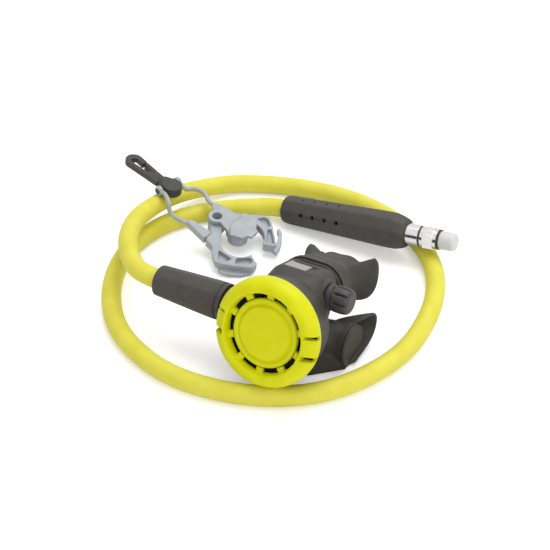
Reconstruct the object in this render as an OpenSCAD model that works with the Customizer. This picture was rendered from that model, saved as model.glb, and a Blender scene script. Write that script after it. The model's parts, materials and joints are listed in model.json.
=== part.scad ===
// Octopus set: a demand second stage on its coiled low-pressure hose, with a two-jaw holder and snap hook.
// Everything is laid out from the middle of the hose loop, on the surface that it lies on, then moved to
// the part's own origin. The second stage has a local frame: X along its inlet, Y into it from the cover,
// Z up. The holder, the hook and the hose's far end have one each too.

/* [Cover and purge button] */
// Outside diameter of the cover ring
cover_d = 66; // [64:0.5:70]
// Distance from the slotted face back to the ring's rear edge
cover_depth = 6; // [5.5:0.25:7]
// Height of the ring's crown in front of the slotted face
crown_h = 4.3; // [3.6:0.1:5]
// Radius at which the crown starts
crown_in_r = 24.8; // [24.5:0.1:25.2]
// Wall of the cover ring
cover_wall = 1.8; // [1.4:0.1:2.2]
// Number of breathing slots round the button
slot_count = 10; // [8:1:12]
// Angle that one slot spans
slot_angle = 18; // [12:1:20]
// Radial width of a slot
slot_w = 3.2; // [2:0.1:3.3]
// Distance between the two grooves beside a clip tab
clip_w = 13; // [10:0.5:16]
// Diameter of the purge button
button_d = 41.4; // [39:0.2:41.8]
// Diameter of the raised middle of the button
button_step_d = 34.6; // [30:0.2:36]

/* [Case] */
// Wall of the case
case_wall = 2; // [1.6:0.1:2.6]
// Depth of the round front of the case behind the slotted face
drum_depth = 27; // [24:0.5:30]
// Distance of the inlet axis behind the slotted face
inlet_y = 25; // [23:0.5:27]
// Height of the mouth tube above the inlet axis
mouth_z = 17; // [15:0.5:18]
// Half height of the mouth tube's oval
mouth_r = 12; // [11:0.5:13]
// Distance from the oval's middle to the centre of each end
mouth_half = 6; // [5:0.5:7]
// Distance of the mouth tube's end behind the slotted face
mouth_y = 60; // [57:0.5:63]
// Radius of the exhaust port
port_r = 11; // [10:0.5:12]
// Drop of the exhaust port below the inlet axis
port_z = -13; // [-15:0.5:-12]
// Thickness of the plain label plate
label_t = 0.8; // [0.5:0.1:1.2]

/* [Valve] */
// Outside diameter of the valve barrel
barrel_d = 13; // [12:0.25:14]
// Bore of the valve barrel
barrel_bore = 9; // [8:0.25:10]
// Length of the demand lever from its pivot to its tip
lever_len = 20; // [18:0.5:22]
// Diameter of the regulator knob
knob_d = 15.5; // [13:0.5:17]
// Length of the knob outside the case
knob_len = 15; // [12:0.5:18]
// Diameter of the knob's shaft
knob_shaft_d = 5; // [4:0.25:6]
// Number of grip grooves round the knob
knob_grooves = 8; // [6:1:12]

/* [Mouthpiece and exhaust tee] */
// Wall of the moulded rubber
rubber_wall = 2.2; // [1.8:0.1:2.6]
// Width of the lip shield
shield_w = 50; // [48:1:58]
// Height of the lip shield
shield_h = 31; // [28:1:34]
// Distance of the lip shield behind the slotted face
shield_y = 88.5; // [83:0.5:89]
// Half width of the exhaust tee at its side faces
tee_half = 29; // [27:0.5:31]

/* [Hose] */
// Outside diameter of the hose
hose_d = 12.5; // [12:0.1:12.8]
// Diameter of sleeve A at the hose
sleeve_a_d = 19.5; // [18.5:0.25:20.5]
// Diameter of sleeve A at the second stage
sleeve_a_end_d = 23.5; // [22.5:0.25:24]
// Length of sleeve A
sleeve_a_len = 48; // [44:0.5:52]
// Diameter of sleeve B at the hose
sleeve_b_d = 18.5; // [18:0.25:19.5]
// Largest diameter of sleeve B
sleeve_b_end_d = 24; // [23:0.25:24.5]
// Length of sleeve B
sleeve_b_len = 93; // [88:0.5:93]
// Diameter of the crimped ferrules
ferrule_d = 14; // [13.6:0.1:14.4]
// Width across the flats of the end fitting
fitting_af = 14.3; // [13.8:0.1:14.8]
// Diameter of the end fitting's thread
thread_d = 9.5; // [9:0.25:10]
// Length of the end fitting's thread
thread_len = 9; // [8:0.5:10]

/* [Holder] */
// Thickness of the right half
jaw_t = 6.4; // [5.6:0.2:6.6]
// Thickness of the left jaw
left_jaw_t = 4; // [3.2:0.2:4.4]
// Diameter of the mouth plug
plug_d = 13.5; // [12.5:0.25:14.5]
// Length of the mouth plug below the right half
plug_len = 1.2; // [0.8:0.1:3]
// Diameter of the pivot pin
pivot_d = 8.2; // [7.5:0.1:8.6]
// Outside diameter of the pivot barrel
pivot_barrel_d = 12; // [11.4:0.2:12.6]
// Diameter of the two arms
arm_d = 3; // [2.6:0.1:3.2]
// Width of the snap hook
hook_w = 12; // [10.5:0.25:13]
// Length of the snap hook from the swivel base
hook_len = 35; // [32:0.5:38]
// Thickness of the snap hook
hook_t = 4; // [4:0.2:5]
// Diameter of the hook's swivel shank
shank_d = 5; // [4.4:0.2:5.4]

/* [Clearances] */
// Radial clearance of running fits
running = 0.05; // [0.03:0.01:0.09]
// Clearance between parts that are slid together
assembly = 0.2; // [0.1:0.05:0.3]
// Gap left beside parts that move
free_gap = 0.3; // [0.2:0.05:0.4]

/* [Hidden] */
$fn = 96;

// Where the part's origin lies, measured from the middle of the hose loop
origin_at = [-26.5, -33.7, 0];
// The second stage leans back on the hose
stage_at = [50.8, -101.4, 44.7];
stage_pitch = 17.5;
// The hose's far end rises over the loop
end_at = [-30, 68, 10];
end_rise = 6;
// The holder slopes down to its jaws
clip_at = [-41.6, 23, 10.6];
clip_tilt = [7.7, 9, 0];
// The hook's trunnions lie on the raised strand of the hose
hook_at = [-97.6, 25.9, 30.2];
hook_yaw = 165;
hook_pitch = 8;

module at_origin() { translate(-origin_at) children(); }
module on_stage() { at_origin() translate(stage_at) rotate([-stage_pitch, 0, 0]) children(); }
module on_end() { at_origin() translate(end_at) rotate([0, -end_rise, 0]) children(); }
module on_clip() { at_origin() translate(clip_at) rotate(clip_tilt) children(); }
module on_hook() { at_origin() translate(hook_at) rotate([0, -hook_pitch, hook_yaw]) children(); }

// A shape drawn along Z is turned to run back from the cover, or along the inlet axis
module facing() { rotate([-90, 0, 0]) children(); }
module along_x() { rotate([0, 90, 0]) children(); }

function arc_points(centre, r, from, to, n) =
    [for (i = [0:n]) let (a = from + (to - from) * i / n) centre + r * [cos(a), sin(a)]];

// ---- cover and purge button ----

cover_r = cover_d / 2;
case_r = cover_r - cover_wall - assembly;
button_r = button_d / 2;
button_hole_r = button_r + free_gap;
face_t = 2;
flange_over = 1.3;
flange_t = 1;
nose_r = 2.1;
fillet_r = 2.6;
clip_drop = 1;
bridge_w = 4;

// The crown rises from the slotted face in a fillet, turns over its nose and falls to the rim
function crown(top, rim_r) = let (nose = [crown_in_r + fillet_r + nose_r - 0.6, nose_r - top]) concat(
    [[crown_in_r, 0]],
    arc_points([crown_in_r, -fillet_r], fillet_r, 70, 20, 3),
    arc_points(nose, nose_r, 190, 330, 8),
    [[rim_r, 0.9], [rim_r, face_t + 1]]);

module cover_profile() {
    polygon(concat(
        [[button_hole_r, 0]],
        crown(crown_h, cover_r),
        [[cover_r, cover_depth], [cover_r - cover_wall, cover_depth], [cover_r - cover_wall, face_t + 1.5],
         [crown_in_r + 1.5, face_t], [button_hole_r, face_t]]));
}
module clip_profile() {
    foot_r = crown_in_r - 1;
    polygon(concat([[foot_r, 0]], crown(crown_h - clip_drop, cover_r - 0.3), [[foot_r, face_t]]));
}

module cover_ring() {
    bridge_t = 0.9;
    groove_w = 1.6;
    groove_floor = 0.8;
    slot_out_r = button_hole_r + slot_w;
    slot_len = 2 * slot_out_r * sin(slot_angle / 2);
    clip_cut = clip_w + groove_w;
    color("yellow") on_stage() facing() {
        difference() {
            union() {
                rotate_extrude() cover_profile();
                for (i = [0:slot_count - 1]) rotate((i + 0.5) * 360 / slot_count)
                    translate([(button_hole_r + crown_in_r) / 2, 0, (face_t - bridge_t) / 2])
                        cube([crown_in_r - button_hole_r - 0.2, bridge_w, face_t + bridge_t], center = true);
            }
            for (i = [0:slot_count - 1]) rotate(i * 360 / slot_count)
                translate([slot_out_r - (slot_w + 1) / 2, 0, face_t / 2])
                    cube([slot_w + 1, slot_len, 3 * face_t], center = true);
            for (side = [-1, 1]) translate([side * (crown_in_r + 10), 0, groove_floor - 5])
                cube([20, clip_cut, 10], center = true);
            translate([0, 0, -1]) cylinder(r = button_hole_r, h = face_t + 2);
        }
        for (side = [-1, 1]) intersection() {
            rotate_extrude() clip_profile();
            translate([side * cover_r, 0, 0]) cube([cover_r, clip_w - groove_w, 3 * crown_h], center = true);
        }
    }
}

// The button's lugs sit behind the bridges and its stub reaches the diaphragm
diaphragm_y = 8;
diaphragm_t = 1;
plate_t = 0.8;
stub_r = 6;
button_back = face_t + free_gap + flange_t;
module purge_button() {
    step_h = 0.7;
    face_h = 0.5;
    color("gold") on_stage() facing() {
        rotate_extrude() polygon([
            [0, -face_h - step_h], [button_step_d / 2 - 0.7, -face_h - step_h], [button_step_d / 2, -face_h],
            [button_r - 0.8, -face_h], [button_r, 0.3], [button_r, button_back],
            [stub_r, button_back], [stub_r, diaphragm_y - free_gap], [0, diaphragm_y - free_gap]]);
        for (i = [0:slot_count - 1]) rotate((i + 0.5) * 360 / slot_count)
            translate([button_r - 2, -bridge_w / 2, face_t + free_gap])
                cube([2 + flange_over, bridge_w, flange_t]);
    }
}

module tube(r_out, r_in, len) {
    difference() {
        cylinder(r = r_out, h = len);
        translate([0, 0, -1]) cylinder(r = r_in, h = len + 2);
    }
}

module purge_spring() {
    spring_wall = 0.8;
    color("silver") on_stage() facing() translate([0, 0, button_back])
        tube(stub_r + 1 + spring_wall, stub_r + 1, diaphragm_y - button_back);
}

ledge_y = diaphragm_y + diaphragm_t;
lip_r = case_r - 0.8;
seal_r = lip_r - assembly;
module diaphragm() {
    color("dimgray") on_stage() facing() translate([0, 0, diaphragm_y])
        cylinder(r = seal_r, h = diaphragm_t);
}
module diaphragm_ring() {
    ring_t = 1.4;
    color("darkslategray") on_stage() facing() translate([0, 0, diaphragm_y - ring_t])
        tube(seal_r, seal_r - 3, ring_t);
}
module diaphragm_plate() {
    plate_r = 14;
    color("silver") on_stage() facing() translate([0, 0, ledge_y]) cylinder(r = plate_r, h = plate_t);
}

// ---- case ----

lip_y = 5;
drum_in_r = case_r - 1.5 * case_wall;
drum_taper = 2.4;
port_len = 40;
boss_r = barrel_d / 2 + 4;
boss_x = -cover_r - 3;
bore_r = barrel_d / 2 + running;
knob_y = 38;
knob_z = 19.2;
knob_x = 18.5;
knob_boss_r = knob_d / 2 + free_gap + 1.2;
label_size = [14, 12];
label_at = [-3.5, 39.5];
label_z = mouth_z + mouth_r + 2;

module rear_outline(shrink) {
    top_r = 8 - shrink;
    low_r = mouth_r + 0.5 - shrink;
    hull() for (s = [-1, 1]) {
        translate([s * 10, -mouth_z - mouth_r + 6]) circle(r = top_r, $fn = 32);
        translate([s * mouth_half, -mouth_z]) circle(r = low_r, $fn = 40);
    }
}
module oval(r, half) { hull() for (s = [-1, 1]) translate([s * half, 0]) circle(r = r, $fn = 40); }

// The rear of the case runs from the drum to a flat top, then necks down to the mouth tube; it's stepped
// behind the exhaust port
module rear_body(shrink) {
    rear_r = 25 - shrink;
    step_z = 1 + shrink;
    difference() {
        hull() {
            translate([0, -3, drum_depth - 4]) cylinder(r = rear_r, h = 1, $fn = 48);
            translate([0, 0, drum_depth + 6]) linear_extrude(mouth_y - 17 - shrink - drum_depth)
                rear_outline(shrink);
        }
        translate([-cover_r, -step_z, port_len - shrink]) cube([cover_d, cover_r, cover_r]);
    }
    translate([0, -mouth_z, mouth_y - 15]) linear_extrude(15 + (shrink > 0 ? 1 : 0))
        oval(mouth_r - shrink, mouth_half);
}

module case_outside() {
    facing() {
        rotate_extrude() polygon([[0, lip_y], [case_r, lip_y], [case_r, lip_y + 4],
            [case_r - drum_taper, drum_depth - 3], [case_r - drum_taper - 1.5, drum_depth + 1.5],
            [case_r - drum_taper - 5, drum_depth + 5], [0, drum_depth + 5]]);
        rear_body(0);
        translate([0, -port_z, drum_depth]) cylinder(r = port_r + 4, h = port_len - drum_depth);
    }
    translate([boss_x, inlet_y, 0]) along_x() cylinder(r = boss_r, h = 10);
    on_knob(knob_x - 12) cylinder(r = knob_boss_r, h = 12);
}

module on_knob(x) { translate([x, knob_y, knob_z]) along_x() children(); }

module case_inside() {
    difference() {
        case_hollow();
        on_knob(knob_x - 2) cylinder(r = knob_boss_r, h = 12);
    }
}
module case_hollow() {
    facing() {
        translate([0, 0, lip_y - 1]) cylinder(r = lip_r, h = ledge_y - lip_y + 1);
        rotate_extrude() polygon([[0, ledge_y - 1], [drum_in_r, ledge_y - 1],
            [drum_in_r - drum_taper, drum_depth - 3],
            [drum_in_r - drum_taper - 4, drum_depth + 5 - case_wall], [0, drum_depth + 5 - case_wall]]);
        rear_body(case_wall);
        translate([0, -port_z, drum_depth - 2]) cylinder(r = port_r, h = port_len);
    }
}

valve_stem_r = 2;
module port_grid() {
    grid_t = 2.5;
    facing() translate([0, -port_z, port_len - grid_t]) difference() {
        cylinder(r = port_r + 2, h = grid_t);
        translate([0, 0, -1]) cylinder(r = valve_stem_r + running, h = grid_t + 2);
        for (a = [0:60:300]) rotate(a) translate([port_r * 0.62, 0, -1]) cylinder(r = 2.7, h = grid_t + 2);
    }
}

module case() {
    color("dimgray") on_stage() {
        difference() {
            case_outside();
            case_inside();
            translate([boss_x - 1, inlet_y, 0]) along_x()
                cylinder(r = bore_r, h = barrel_end_x + free_gap + 1 - boss_x);
            on_knob(0) cylinder(r = knob_shaft_d / 2 + running, h = knob_x + 1);
            on_knob(knob_x) cylinder(r = knob_d / 2 + free_gap, h = 10);
            translate([label_at[0], label_at[1], label_z])
                cube([label_size[0] + 2 * assembly, label_size[1] + 2 * assembly, label_t], center = true);
        }
        port_grid();
    }
}

module label_plate() {
    color("lightgray") on_stage() translate([label_at[0], label_at[1], label_z])
        cube([label_size[0], label_size[1], label_t], center = true);
}

// ---- valve ----

barrel_end_x = 24;
lever_x = 12;
lever_y = inlet_y - barrel_d / 2 + 1;
seat_x = 1;
module on_inlet(x) { on_stage() translate([x, inlet_y, 0]) along_x() children(); }

module valve_barrel() {
    window = [12, 5];
    color("silver") on_inlet(boss_x) difference() {
        cylinder(r = barrel_d / 2, h = barrel_end_x - boss_x);
        translate([0, 0, -1]) cylinder(r = barrel_bore / 2, h = barrel_end_x - boss_x + 2);
        translate([0, -barrel_d / 2, lever_x - 1 - boss_x])
            cube([window[1], barrel_d, window[0]], center = true);
    }
}

module inlet_fitting() {
    gas_r = 2;
    color("silver") on_inlet(boss_x - 8) difference() {
        cylinder(r = barrel_bore / 2 - running, h = seat_x - free_gap - boss_x + 8);
        translate([0, 0, -1]) cylinder(r = gas_r, h = seat_x - boss_x + 10);
    }
}

nut_len = 3;
module inlet_nut() {
    color("black") on_inlet(boss_x - nut_len) tube(boss_r - 0.5, barrel_bore / 2, nut_len);
}

module barrel_plug() {
    plug_len_in = 4;
    color("silver") on_inlet(barrel_end_x - plug_len_in) difference() {
        cylinder(r = barrel_bore / 2 - running, h = plug_len_in);
        translate([-barrel_bore / 2, -0.5, plug_len_in - 1]) cube([barrel_bore, 1, 2]);
    }
}

foot_gap = 0.7;
poppet_x = seat_x + 1.5;
poppet_end_x = lever_x + 3;
module poppet() {
    notch_r = barrel_bore / 2 - 2.2;
    color("silver") on_inlet(poppet_x) difference() {
        cylinder(r = barrel_bore / 2 - running, h = poppet_end_x - poppet_x);
        translate([0, 0, lever_x - poppet_x - foot_gap]) tube(barrel_bore, notch_r, 2 * foot_gap);
    }
}
module poppet_seat() {
    color("black") on_inlet(seat_x) cylinder(r = barrel_bore / 2 - 1, h = poppet_x - seat_x);
}
module poppet_spring() {
    color("silver") on_inlet(poppet_end_x) tube(barrel_bore / 2 - 0.8, barrel_bore / 2 - 1.6,
        barrel_end_x - 4 - poppet_end_x);
}

module demand_lever() {
    lever_w = 3;
    lever_t = 0.8;
    tip_y = ledge_y + plate_t + free_gap;
    rise = lever_y - tip_y - lever_t / 2;
    slope = asin(rise / lever_len);
    foot_len = 2.6;
    knee_r = 0.6;
    color("silver") on_stage() {
        translate([lever_x, lever_y, -lever_w / 2]) cylinder(r = knee_r, h = lever_w, $fn = 32);
        translate([lever_x, lever_y, 0]) rotate([0, 0, -90 - (90 - slope)]) mirror([0, 1, 0])
            translate([0, -lever_t / 2, -lever_w / 2]) cube([lever_len, lever_t, lever_w]);
        translate([lever_x - foot_gap / 2, lever_y - lever_t / 2, -lever_w / 2])
            cube([foot_gap, foot_len, lever_w]);
    }
}

module venturi_knob() {
    groove_r = 0.8;
    collar_len = 3;
    knob_r = knob_d / 2;
    neck_r = knob_r - 1.2;
    vane = [6, 1.2, 9];
    color("darkslategray") on_stage() translate([0, knob_y, knob_z]) {
        difference() {
            union() {
                translate([knob_x + free_gap, 0, 0]) along_x() rotate_extrude() polygon([
                    [0, 0], [knob_r - 0.5, 0], [knob_r - 0.2, 0.5], [knob_r - 0.2, collar_len],
                    [neck_r, collar_len + 0.4], [neck_r, collar_len + 1], [knob_r, collar_len + 1.8],
                    [knob_r, knob_len - 4], [knob_r - 1.2, knob_len - 1.6], [knob_r - 3.4, knob_len - 0.3],
                    [knob_r - 6, knob_len], [0, knob_len]]);
                translate([4, 0, 0]) along_x() cylinder(r = knob_shaft_d / 2, h = knob_x - 2);
            }
            for (i = [0:knob_grooves - 1])
                rotate([i * 360 / knob_grooves, 0, 0]) translate([knob_x + collar_len + 2.6, 0, knob_r])
                    along_x() cylinder(r = groove_r, h = knob_len, $fn = 16);
        }
        translate([1, 0, 0]) cube(vane, center = true);
    }
}

// ---- exhaust and mouthpiece ----

module exhaust_valve() {
    flap_t = 0.8;
    bead_r = valve_stem_r + 0.8;
    color("black") on_stage() facing() translate([0, -port_z, port_len]) rotate_extrude() polygon([
        [0, -5.5], [valve_stem_r, -5.5], [bead_r, -3.6], [bead_r, -2.8], [valve_stem_r, -2.8],
        [valve_stem_r, 0], [port_r + 2, 0], [port_r + 2, flap_t], [0, flap_t + 1]]);
}

// The tee lies flat on its floor; each wing ends in a round face with a curved lip behind it
tee_face = [58, -12.5];
tee_face_r = 13.3;
tee_root = [[38, -35], [57, -29], [57, -5], [52, -1], [38, -1]];
tee_lip = [[62, 2.4], [78, 3.2], [83.3, 1], [84.3, -4.5], [80.5, -12.5], [74.5, -20.5], [66, -24],
    [58, -26.8]];
tee_foot = [[47, -32], [58, -28.5], [57, -20], [47, -20]];
tee_floor = 0;
beyond = 200;
module plate_x(x, t) { translate([x, 0, 0]) rotate([90, 0, 90]) linear_extrude(t) children(); }
module tee_wing(side, in) {
    wall = in ? rubber_wall : 0;
    mirror([side < 0 ? 1 : 0, 0, 0]) hull() {
        plate_x(6, 1) offset(delta = -wall) polygon(tee_root);
        if (!in) plate_x(tee_half - 3, 1) polygon(tee_foot);
        plate_x(tee_half - 1.5 - 1.5 * wall, 2) translate(tee_face) circle(r = tee_face_r - wall, $fn = 40);
        plate_x(tee_half + 2 + (in ? 2.5 : 0), 1.5) offset(delta = -wall) polygon(tee_lip);
    }
}
module above_floor() {
    intersection() {
        children();
        at_origin() translate([-beyond, -beyond, tee_floor]) cube(2 * beyond);
    }
}
module exhaust_tee() {
    seat_y = drum_depth + 6;
    collar_end = port_len + 5.5;
    color("dimgray") above_floor() on_stage() difference() {
        union() {
            for (side = [-1, 1]) tee_wing(side, false);
            translate([-7, tee_root[0][0], tee_root[0][1]]) cube([14, 19, 34]);
            facing() translate([0, -port_z, seat_y])
                cylinder(r = port_r + 4 + rubber_wall, h = collar_end - seat_y, $fn = 48);
        }
        difference() {
            for (side = [-1, 1]) tee_wing(side, true);
            for (side = [-1, 1]) translate([side * (tee_half + 5), tee_face[0], tee_face[1]]) along_x()
                cylinder(r = tee_face_r, h = 15, center = true, $fn = 40);
        }
        translate([-8, tee_root[0][0] + rubber_wall, tee_root[0][1] + 5])
            cube([16, 19 - 2 * rubber_wall, 26]);
        facing() translate([0, -port_z, seat_y - 1])
            cylinder(r = port_r + 4 + running, h = collar_end - rubber_wall - seat_y + 1);
        facing() rear_body(-free_gap);
    }
}

tie_y = mouth_y - 5;
shield_half = [[0, 28.9], [5, 29], [8.5, 28.4], [12.5, 26.6], [15.5, 27.4], [18.3, 29.8], [20.8, 30.4],
    [23, 29], [24.6, 25.5], [25, 19], [24.4, 13], [22.6, 7.8], [19.6, 4.2], [15, 2.2], [0, 1.5]];
module shield_outline() {
    n = len(shield_half);
    scale([shield_w / 50, shield_h / 31]) translate([0, -1.5]) polygon(concat(shield_half,
        [for (i = [n - 2:-1:1]) [-shield_half[i][0], shield_half[i][1]]]));
}
shield_roll = -4;
shield_at = [1.6, shield_h / 2 - 0.3];
module shield_plate(y, t, size) {
    translate([shield_at[0], y, shield_at[1]]) rotate([90, shield_roll, 0]) translate([0, 0, -t])
        linear_extrude(t) scale(size) translate([0, -shield_h / 2]) shield_outline();
}
module mouthpiece() {
    tube_r = 9;
    tube_half = 7;
    sleeve_y = mouth_y - 9;
    bite = [8, 10, 10];
    bite_x = 18;
    color("dimgray") on_stage() {
        difference() {
            union() {
                facing() translate([0, -mouth_z, sleeve_y]) linear_extrude(14)
                    oval(mouth_r + rubber_wall, mouth_half);
                hull() {
                    facing() translate([0, -mouth_z, sleeve_y + 13]) linear_extrude(1)
                        oval(mouth_r + rubber_wall, mouth_half);
                    facing() translate([0, -mouth_z, shield_y - 12]) linear_extrude(1)
                        oval(tube_r + rubber_wall, tube_half);
                }
                hull() {
                    facing() translate([0, -mouth_z, shield_y - 12]) linear_extrude(1)
                        oval(tube_r + rubber_wall, tube_half);
                    shield_plate(shield_y - 0.5, 1, 0.9);
                }
                shield_plate(shield_y, rubber_wall, 1);
            }
            facing() {
                translate([0, -mouth_z, sleeve_y - 1]) linear_extrude(mouth_y + 1.2 - sleeve_y)
                    oval(mouth_r, mouth_half);
                hull() {
                    translate([0, -mouth_z, mouth_y]) linear_extrude(1)
                        oval(mouth_r - case_wall, mouth_half);
                    translate([0, -mouth_z, shield_y + 4]) linear_extrude(1) oval(tube_r - 2, tube_half - 1);
                }
            }
        }
        for (side = [-1, 1]) translate([side * bite_x - bite[0] / 2, shield_y + rubber_wall, mouth_z - 5])
            cube(bite);
    }
}
module mouthpiece_tie() {
    tie_w = 3.6;
    tie_t = 1.2;
    head = [5, 4, 4];
    color("black") on_stage() facing() translate([0, -mouth_z, tie_y - tie_w / 2]) {
        linear_extrude(tie_w) difference() {
            oval(mouth_r + rubber_wall + tie_t, mouth_half);
            oval(mouth_r + rubber_wall, mouth_half);
        }
        translate([-mouth_half, 0, -0.2]) rotate(45)
            translate([-head[0] / 2, mouth_r + rubber_wall + 0.4, 0]) cube(head);
    }
}

// ---- hose ----

hose_r = hose_d / 2;
hose_bore_r = hose_r + assembly;
sleeve_a_x = boss_x - nut_len - 0.5 - sleeve_a_len;
coupling_len = 12;
coupling_x = boss_x - nut_len - coupling_len;
ferrule_len = 18;

module hose_nut() {
    color("silver") on_inlet(coupling_x) difference() {
        cylinder(r = (sleeve_a_d / 2 - 1.5) / cos(30), h = coupling_len, $fn = 6);
        translate([0, 0, -1]) cylinder(r = barrel_bore / 2, h = coupling_len + 2);
    }
}
module ferrule_a() {
    color("silver") on_inlet(coupling_x - ferrule_len) difference() {
        cylinder(r = ferrule_d / 2, h = ferrule_len);
        translate([0, 0, -1]) cylinder(r = 3, h = ferrule_len + 2);
    }
}
module hose_sleeve_a() {
    r0 = sleeve_a_d / 2;
    r1 = sleeve_a_end_d / 2;
    coupling_r = (r0 - 1.5) / cos(30) + assembly;
    fx = coupling_x - ferrule_len - sleeve_a_x;
    color("dimgray") on_inlet(sleeve_a_x) rotate_extrude() polygon([
        [hose_bore_r, 0], [r0 - 1.5, 0], [r0 - 0.4, 0.5], [r0, 2], [r1 - 0.5, sleeve_a_len * 0.8],
        [r1, sleeve_a_len - 2], [r1 - 0.6, sleeve_a_len - 0.4], [r1 - 1.5, sleeve_a_len],
        [coupling_r, sleeve_a_len], [coupling_r, fx + ferrule_len - assembly],
        [ferrule_d / 2 + assembly, fx + ferrule_len - assembly], [ferrule_d / 2 + assembly, fx - assembly],
        [hose_bore_r, fx - assembly]]);
}

// The hose leaves sleeve A level, comes down over its own strand and goes once round to sleeve B
hose_route = [
    [-56, -73, 36.3], [-73, -57.5, 34.2], [-87, -37.5, 30.5], [-97, -14, 26], [-100.5, 9, 21.8],
    [-100.3, 32, 17.4], [-96.5, 55, 11.8], [-84, 79, 7.4], [-70, 90, 6.3], [-50, 98.5, 6.3],
    [-27, 104.5, 6.3], [0, 106, 6.3], [25, 101.5, 6.3], [47, 92.5, 6.3], [66, 79.5, 6.3], [82, 63, 6.3],
    [94, 43.5, 6.3], [102, 22, 6.3], [106.5, -2, 6.3], [107.5, -26, 6.3], [103.5, -49, 6.3],
    [94, -72.5, 6.3], [79.5, -92.5, 6.3], [60, -107, 6.3], [38, -116, 6.3], [14, -120, 6.3],
    [-10, -118.5, 6.3], [-35, -110, 6.3], [-56, -97, 6.3], [-73, -79.5, 6.3], [-87, -58, 6.3],
    [-96, -35, 6.3], [-99.3, -12, 6.3], [-96, 12, 6.3], [-86, 33, 6.3], [-71, 50, 6.3], [-52, 62, 7.6]
];
hose_start = [stage_at[0] + coupling_x - ferrule_len, stage_at[1] + inlet_y * cos(stage_pitch),
    stage_at[2] - inlet_y * sin(stage_pitch)];
hose_leaves = [stage_at[0] + sleeve_a_x, hose_start[1], hose_start[2]];
end_dir = [cos(end_rise), 0, sin(end_rise)];
hose_in_b = 72;
hose_path = concat([hose_start, hose_leaves], hose_route, [end_at, end_at + hose_in_b * end_dir]);

function unit(v) = v / norm(v);
function tangent(path, i) = unit(path[min(i + 1, len(path) - 1)] - path[max(i - 1, 0)]);
function ring(p, t, ref, r, sides) =
    let (s = unit(cross(ref, t)), u = cross(t, s))
    [for (k = [0:sides - 1]) p + r * (cos(k * 360 / sides) * s + sin(k * 360 / sides) * u)];

module swept(path, r, sides, ref) {
    n = len(path);
    points = [for (i = [0:n - 1]) each ring(path[i], tangent(path, i), ref, r, sides)];
    faces = concat(
        [[for (k = [0:sides - 1]) k]],
        [for (i = [0:n - 2], k = [0:sides - 1]) let (a = i * sides, k1 = (k + 1) % sides)
            each [[a + k, a + sides + k, a + k1], [a + k1, a + sides + k, a + sides + k1]]],
        [[for (k = [sides - 1:-1:0]) (n - 1) * sides + k]]);
    polyhedron(points = points, faces = faces, convexity = 10);
}

// Where the strands lie over each other, the gap between them is measured on points and printed
hose_lap = 8;
hose_gaps = let (p = smooth(hose_path, 4)) [for (i = [0:len(p) - 1], j = [i + 4 * hose_lap:len(p) - 1])
    norm(p[i] - p[j]) - hose_d];
echo(least_hose_gap = min(hose_gaps));

module hose() { color("yellow") at_origin() swept(hose_path, hose_r, 12, [0, 0, 1]); }

// ---- sleeve B and the end fitting ----

module hose_sleeve_b() {
    hole_pitch = 9.2;
    hole_rows = [[180, 0.8, 14.5], [252, 1.3, 17], [108, 1.3, 17]];
    shape = [[0, sleeve_b_d - 3], [1.5, sleeve_b_d], [sleeve_b_len * 0.8, sleeve_b_end_d],
        [sleeve_b_len - 7, sleeve_b_end_d], [sleeve_b_len, ferrule_d + 2.5]];
    color("dimgray") on_end() along_x() difference() {
        hull() for (s = shape) translate([0, 0, s[0]])
            rotate(22.5) cylinder(r = s[1] / 2, h = 0.01, $fn = 16);
        translate([0, 0, -1]) cylinder(r = hose_bore_r, h = hose_in_b + 1.2);
        translate([0, 0, hose_in_b - 1]) cylinder(r = ferrule_d / 2 + assembly, h = sleeve_b_len);
        for (i = [0:3], row = hole_rows) translate([0, 0, row[2] + i * hole_pitch])
            rotate([0, 90, row[0]]) cylinder(r = row[1], h = sleeve_b_end_d, $fn = 24);
    }
}

ring_t = 1.5;
ferrule_b_len = 102 - hose_in_b;
fitting_x = hose_in_b + ferrule_b_len + ring_t;
fitting_len = 11.5;
gas_bore_r = 2.2;
module ferrule_b() {
    color("silver") on_end() along_x() translate([0, 0, hose_in_b])
        tube(ferrule_d / 2, gas_bore_r, ferrule_b_len);
}
module ferrule_ring() {
    color("black") on_end() along_x() translate([0, 0, fitting_x - ring_t])
        tube(ferrule_d / 2 - 0.3, gas_bore_r, ring_t);
}
module end_fitting() {
    collar_t = 2.2;
    hex_len = fitting_len - 2 * collar_t;
    collar_r = fitting_af / 2 - 0.2;
    color("silver") on_end() along_x() translate([0, 0, fitting_x]) difference() {
        union() {
            cylinder(r = collar_r, h = fitting_len);
            translate([0, 0, collar_t]) cylinder(r = fitting_af / 2 / cos(30), h = hex_len, $fn = 6);
            cylinder(r = thread_d / 2, h = fitting_len + ring_t + thread_len);
        }
        translate([0, 0, -1]) cylinder(r = gas_bore_r, h = fitting_len + ring_t + thread_len + 2);
    }
}
module fitting_ring() {
    color("black") on_end() along_x() translate([0, 0, fitting_x + fitting_len])
        tube(ferrule_d / 2 - 0.4, thread_d / 2 + running, ring_t);
}
cap_x = fitting_x + fitting_len + ring_t;
cap_wall = 1.3;
module thread_cap() {
    r = thread_d / 2 + running + cap_wall;
    len = thread_len + free_gap + cap_wall;
    color("whitesmoke", 0.6) on_end() along_x() translate([0, 0, cap_x]) difference() {
        rotate_extrude()
            polygon([[0, 0], [r, 0], [r, len - 1.5], [r - 0.6, len - 0.4], [r - 1.6, len], [0, len]]);
        translate([0, 0, -1]) cylinder(r = thread_d / 2 + running, h = thread_len + free_gap + 1);
    }
}

// ---- holder ----

pivot_at = [-19.5, 5];
pivot_hole_r = 3.3;
half_t = jaw_t / 2;
plug_shank_r = 5;
pocket_depth = 3;
tail_t = 3.8;

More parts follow.
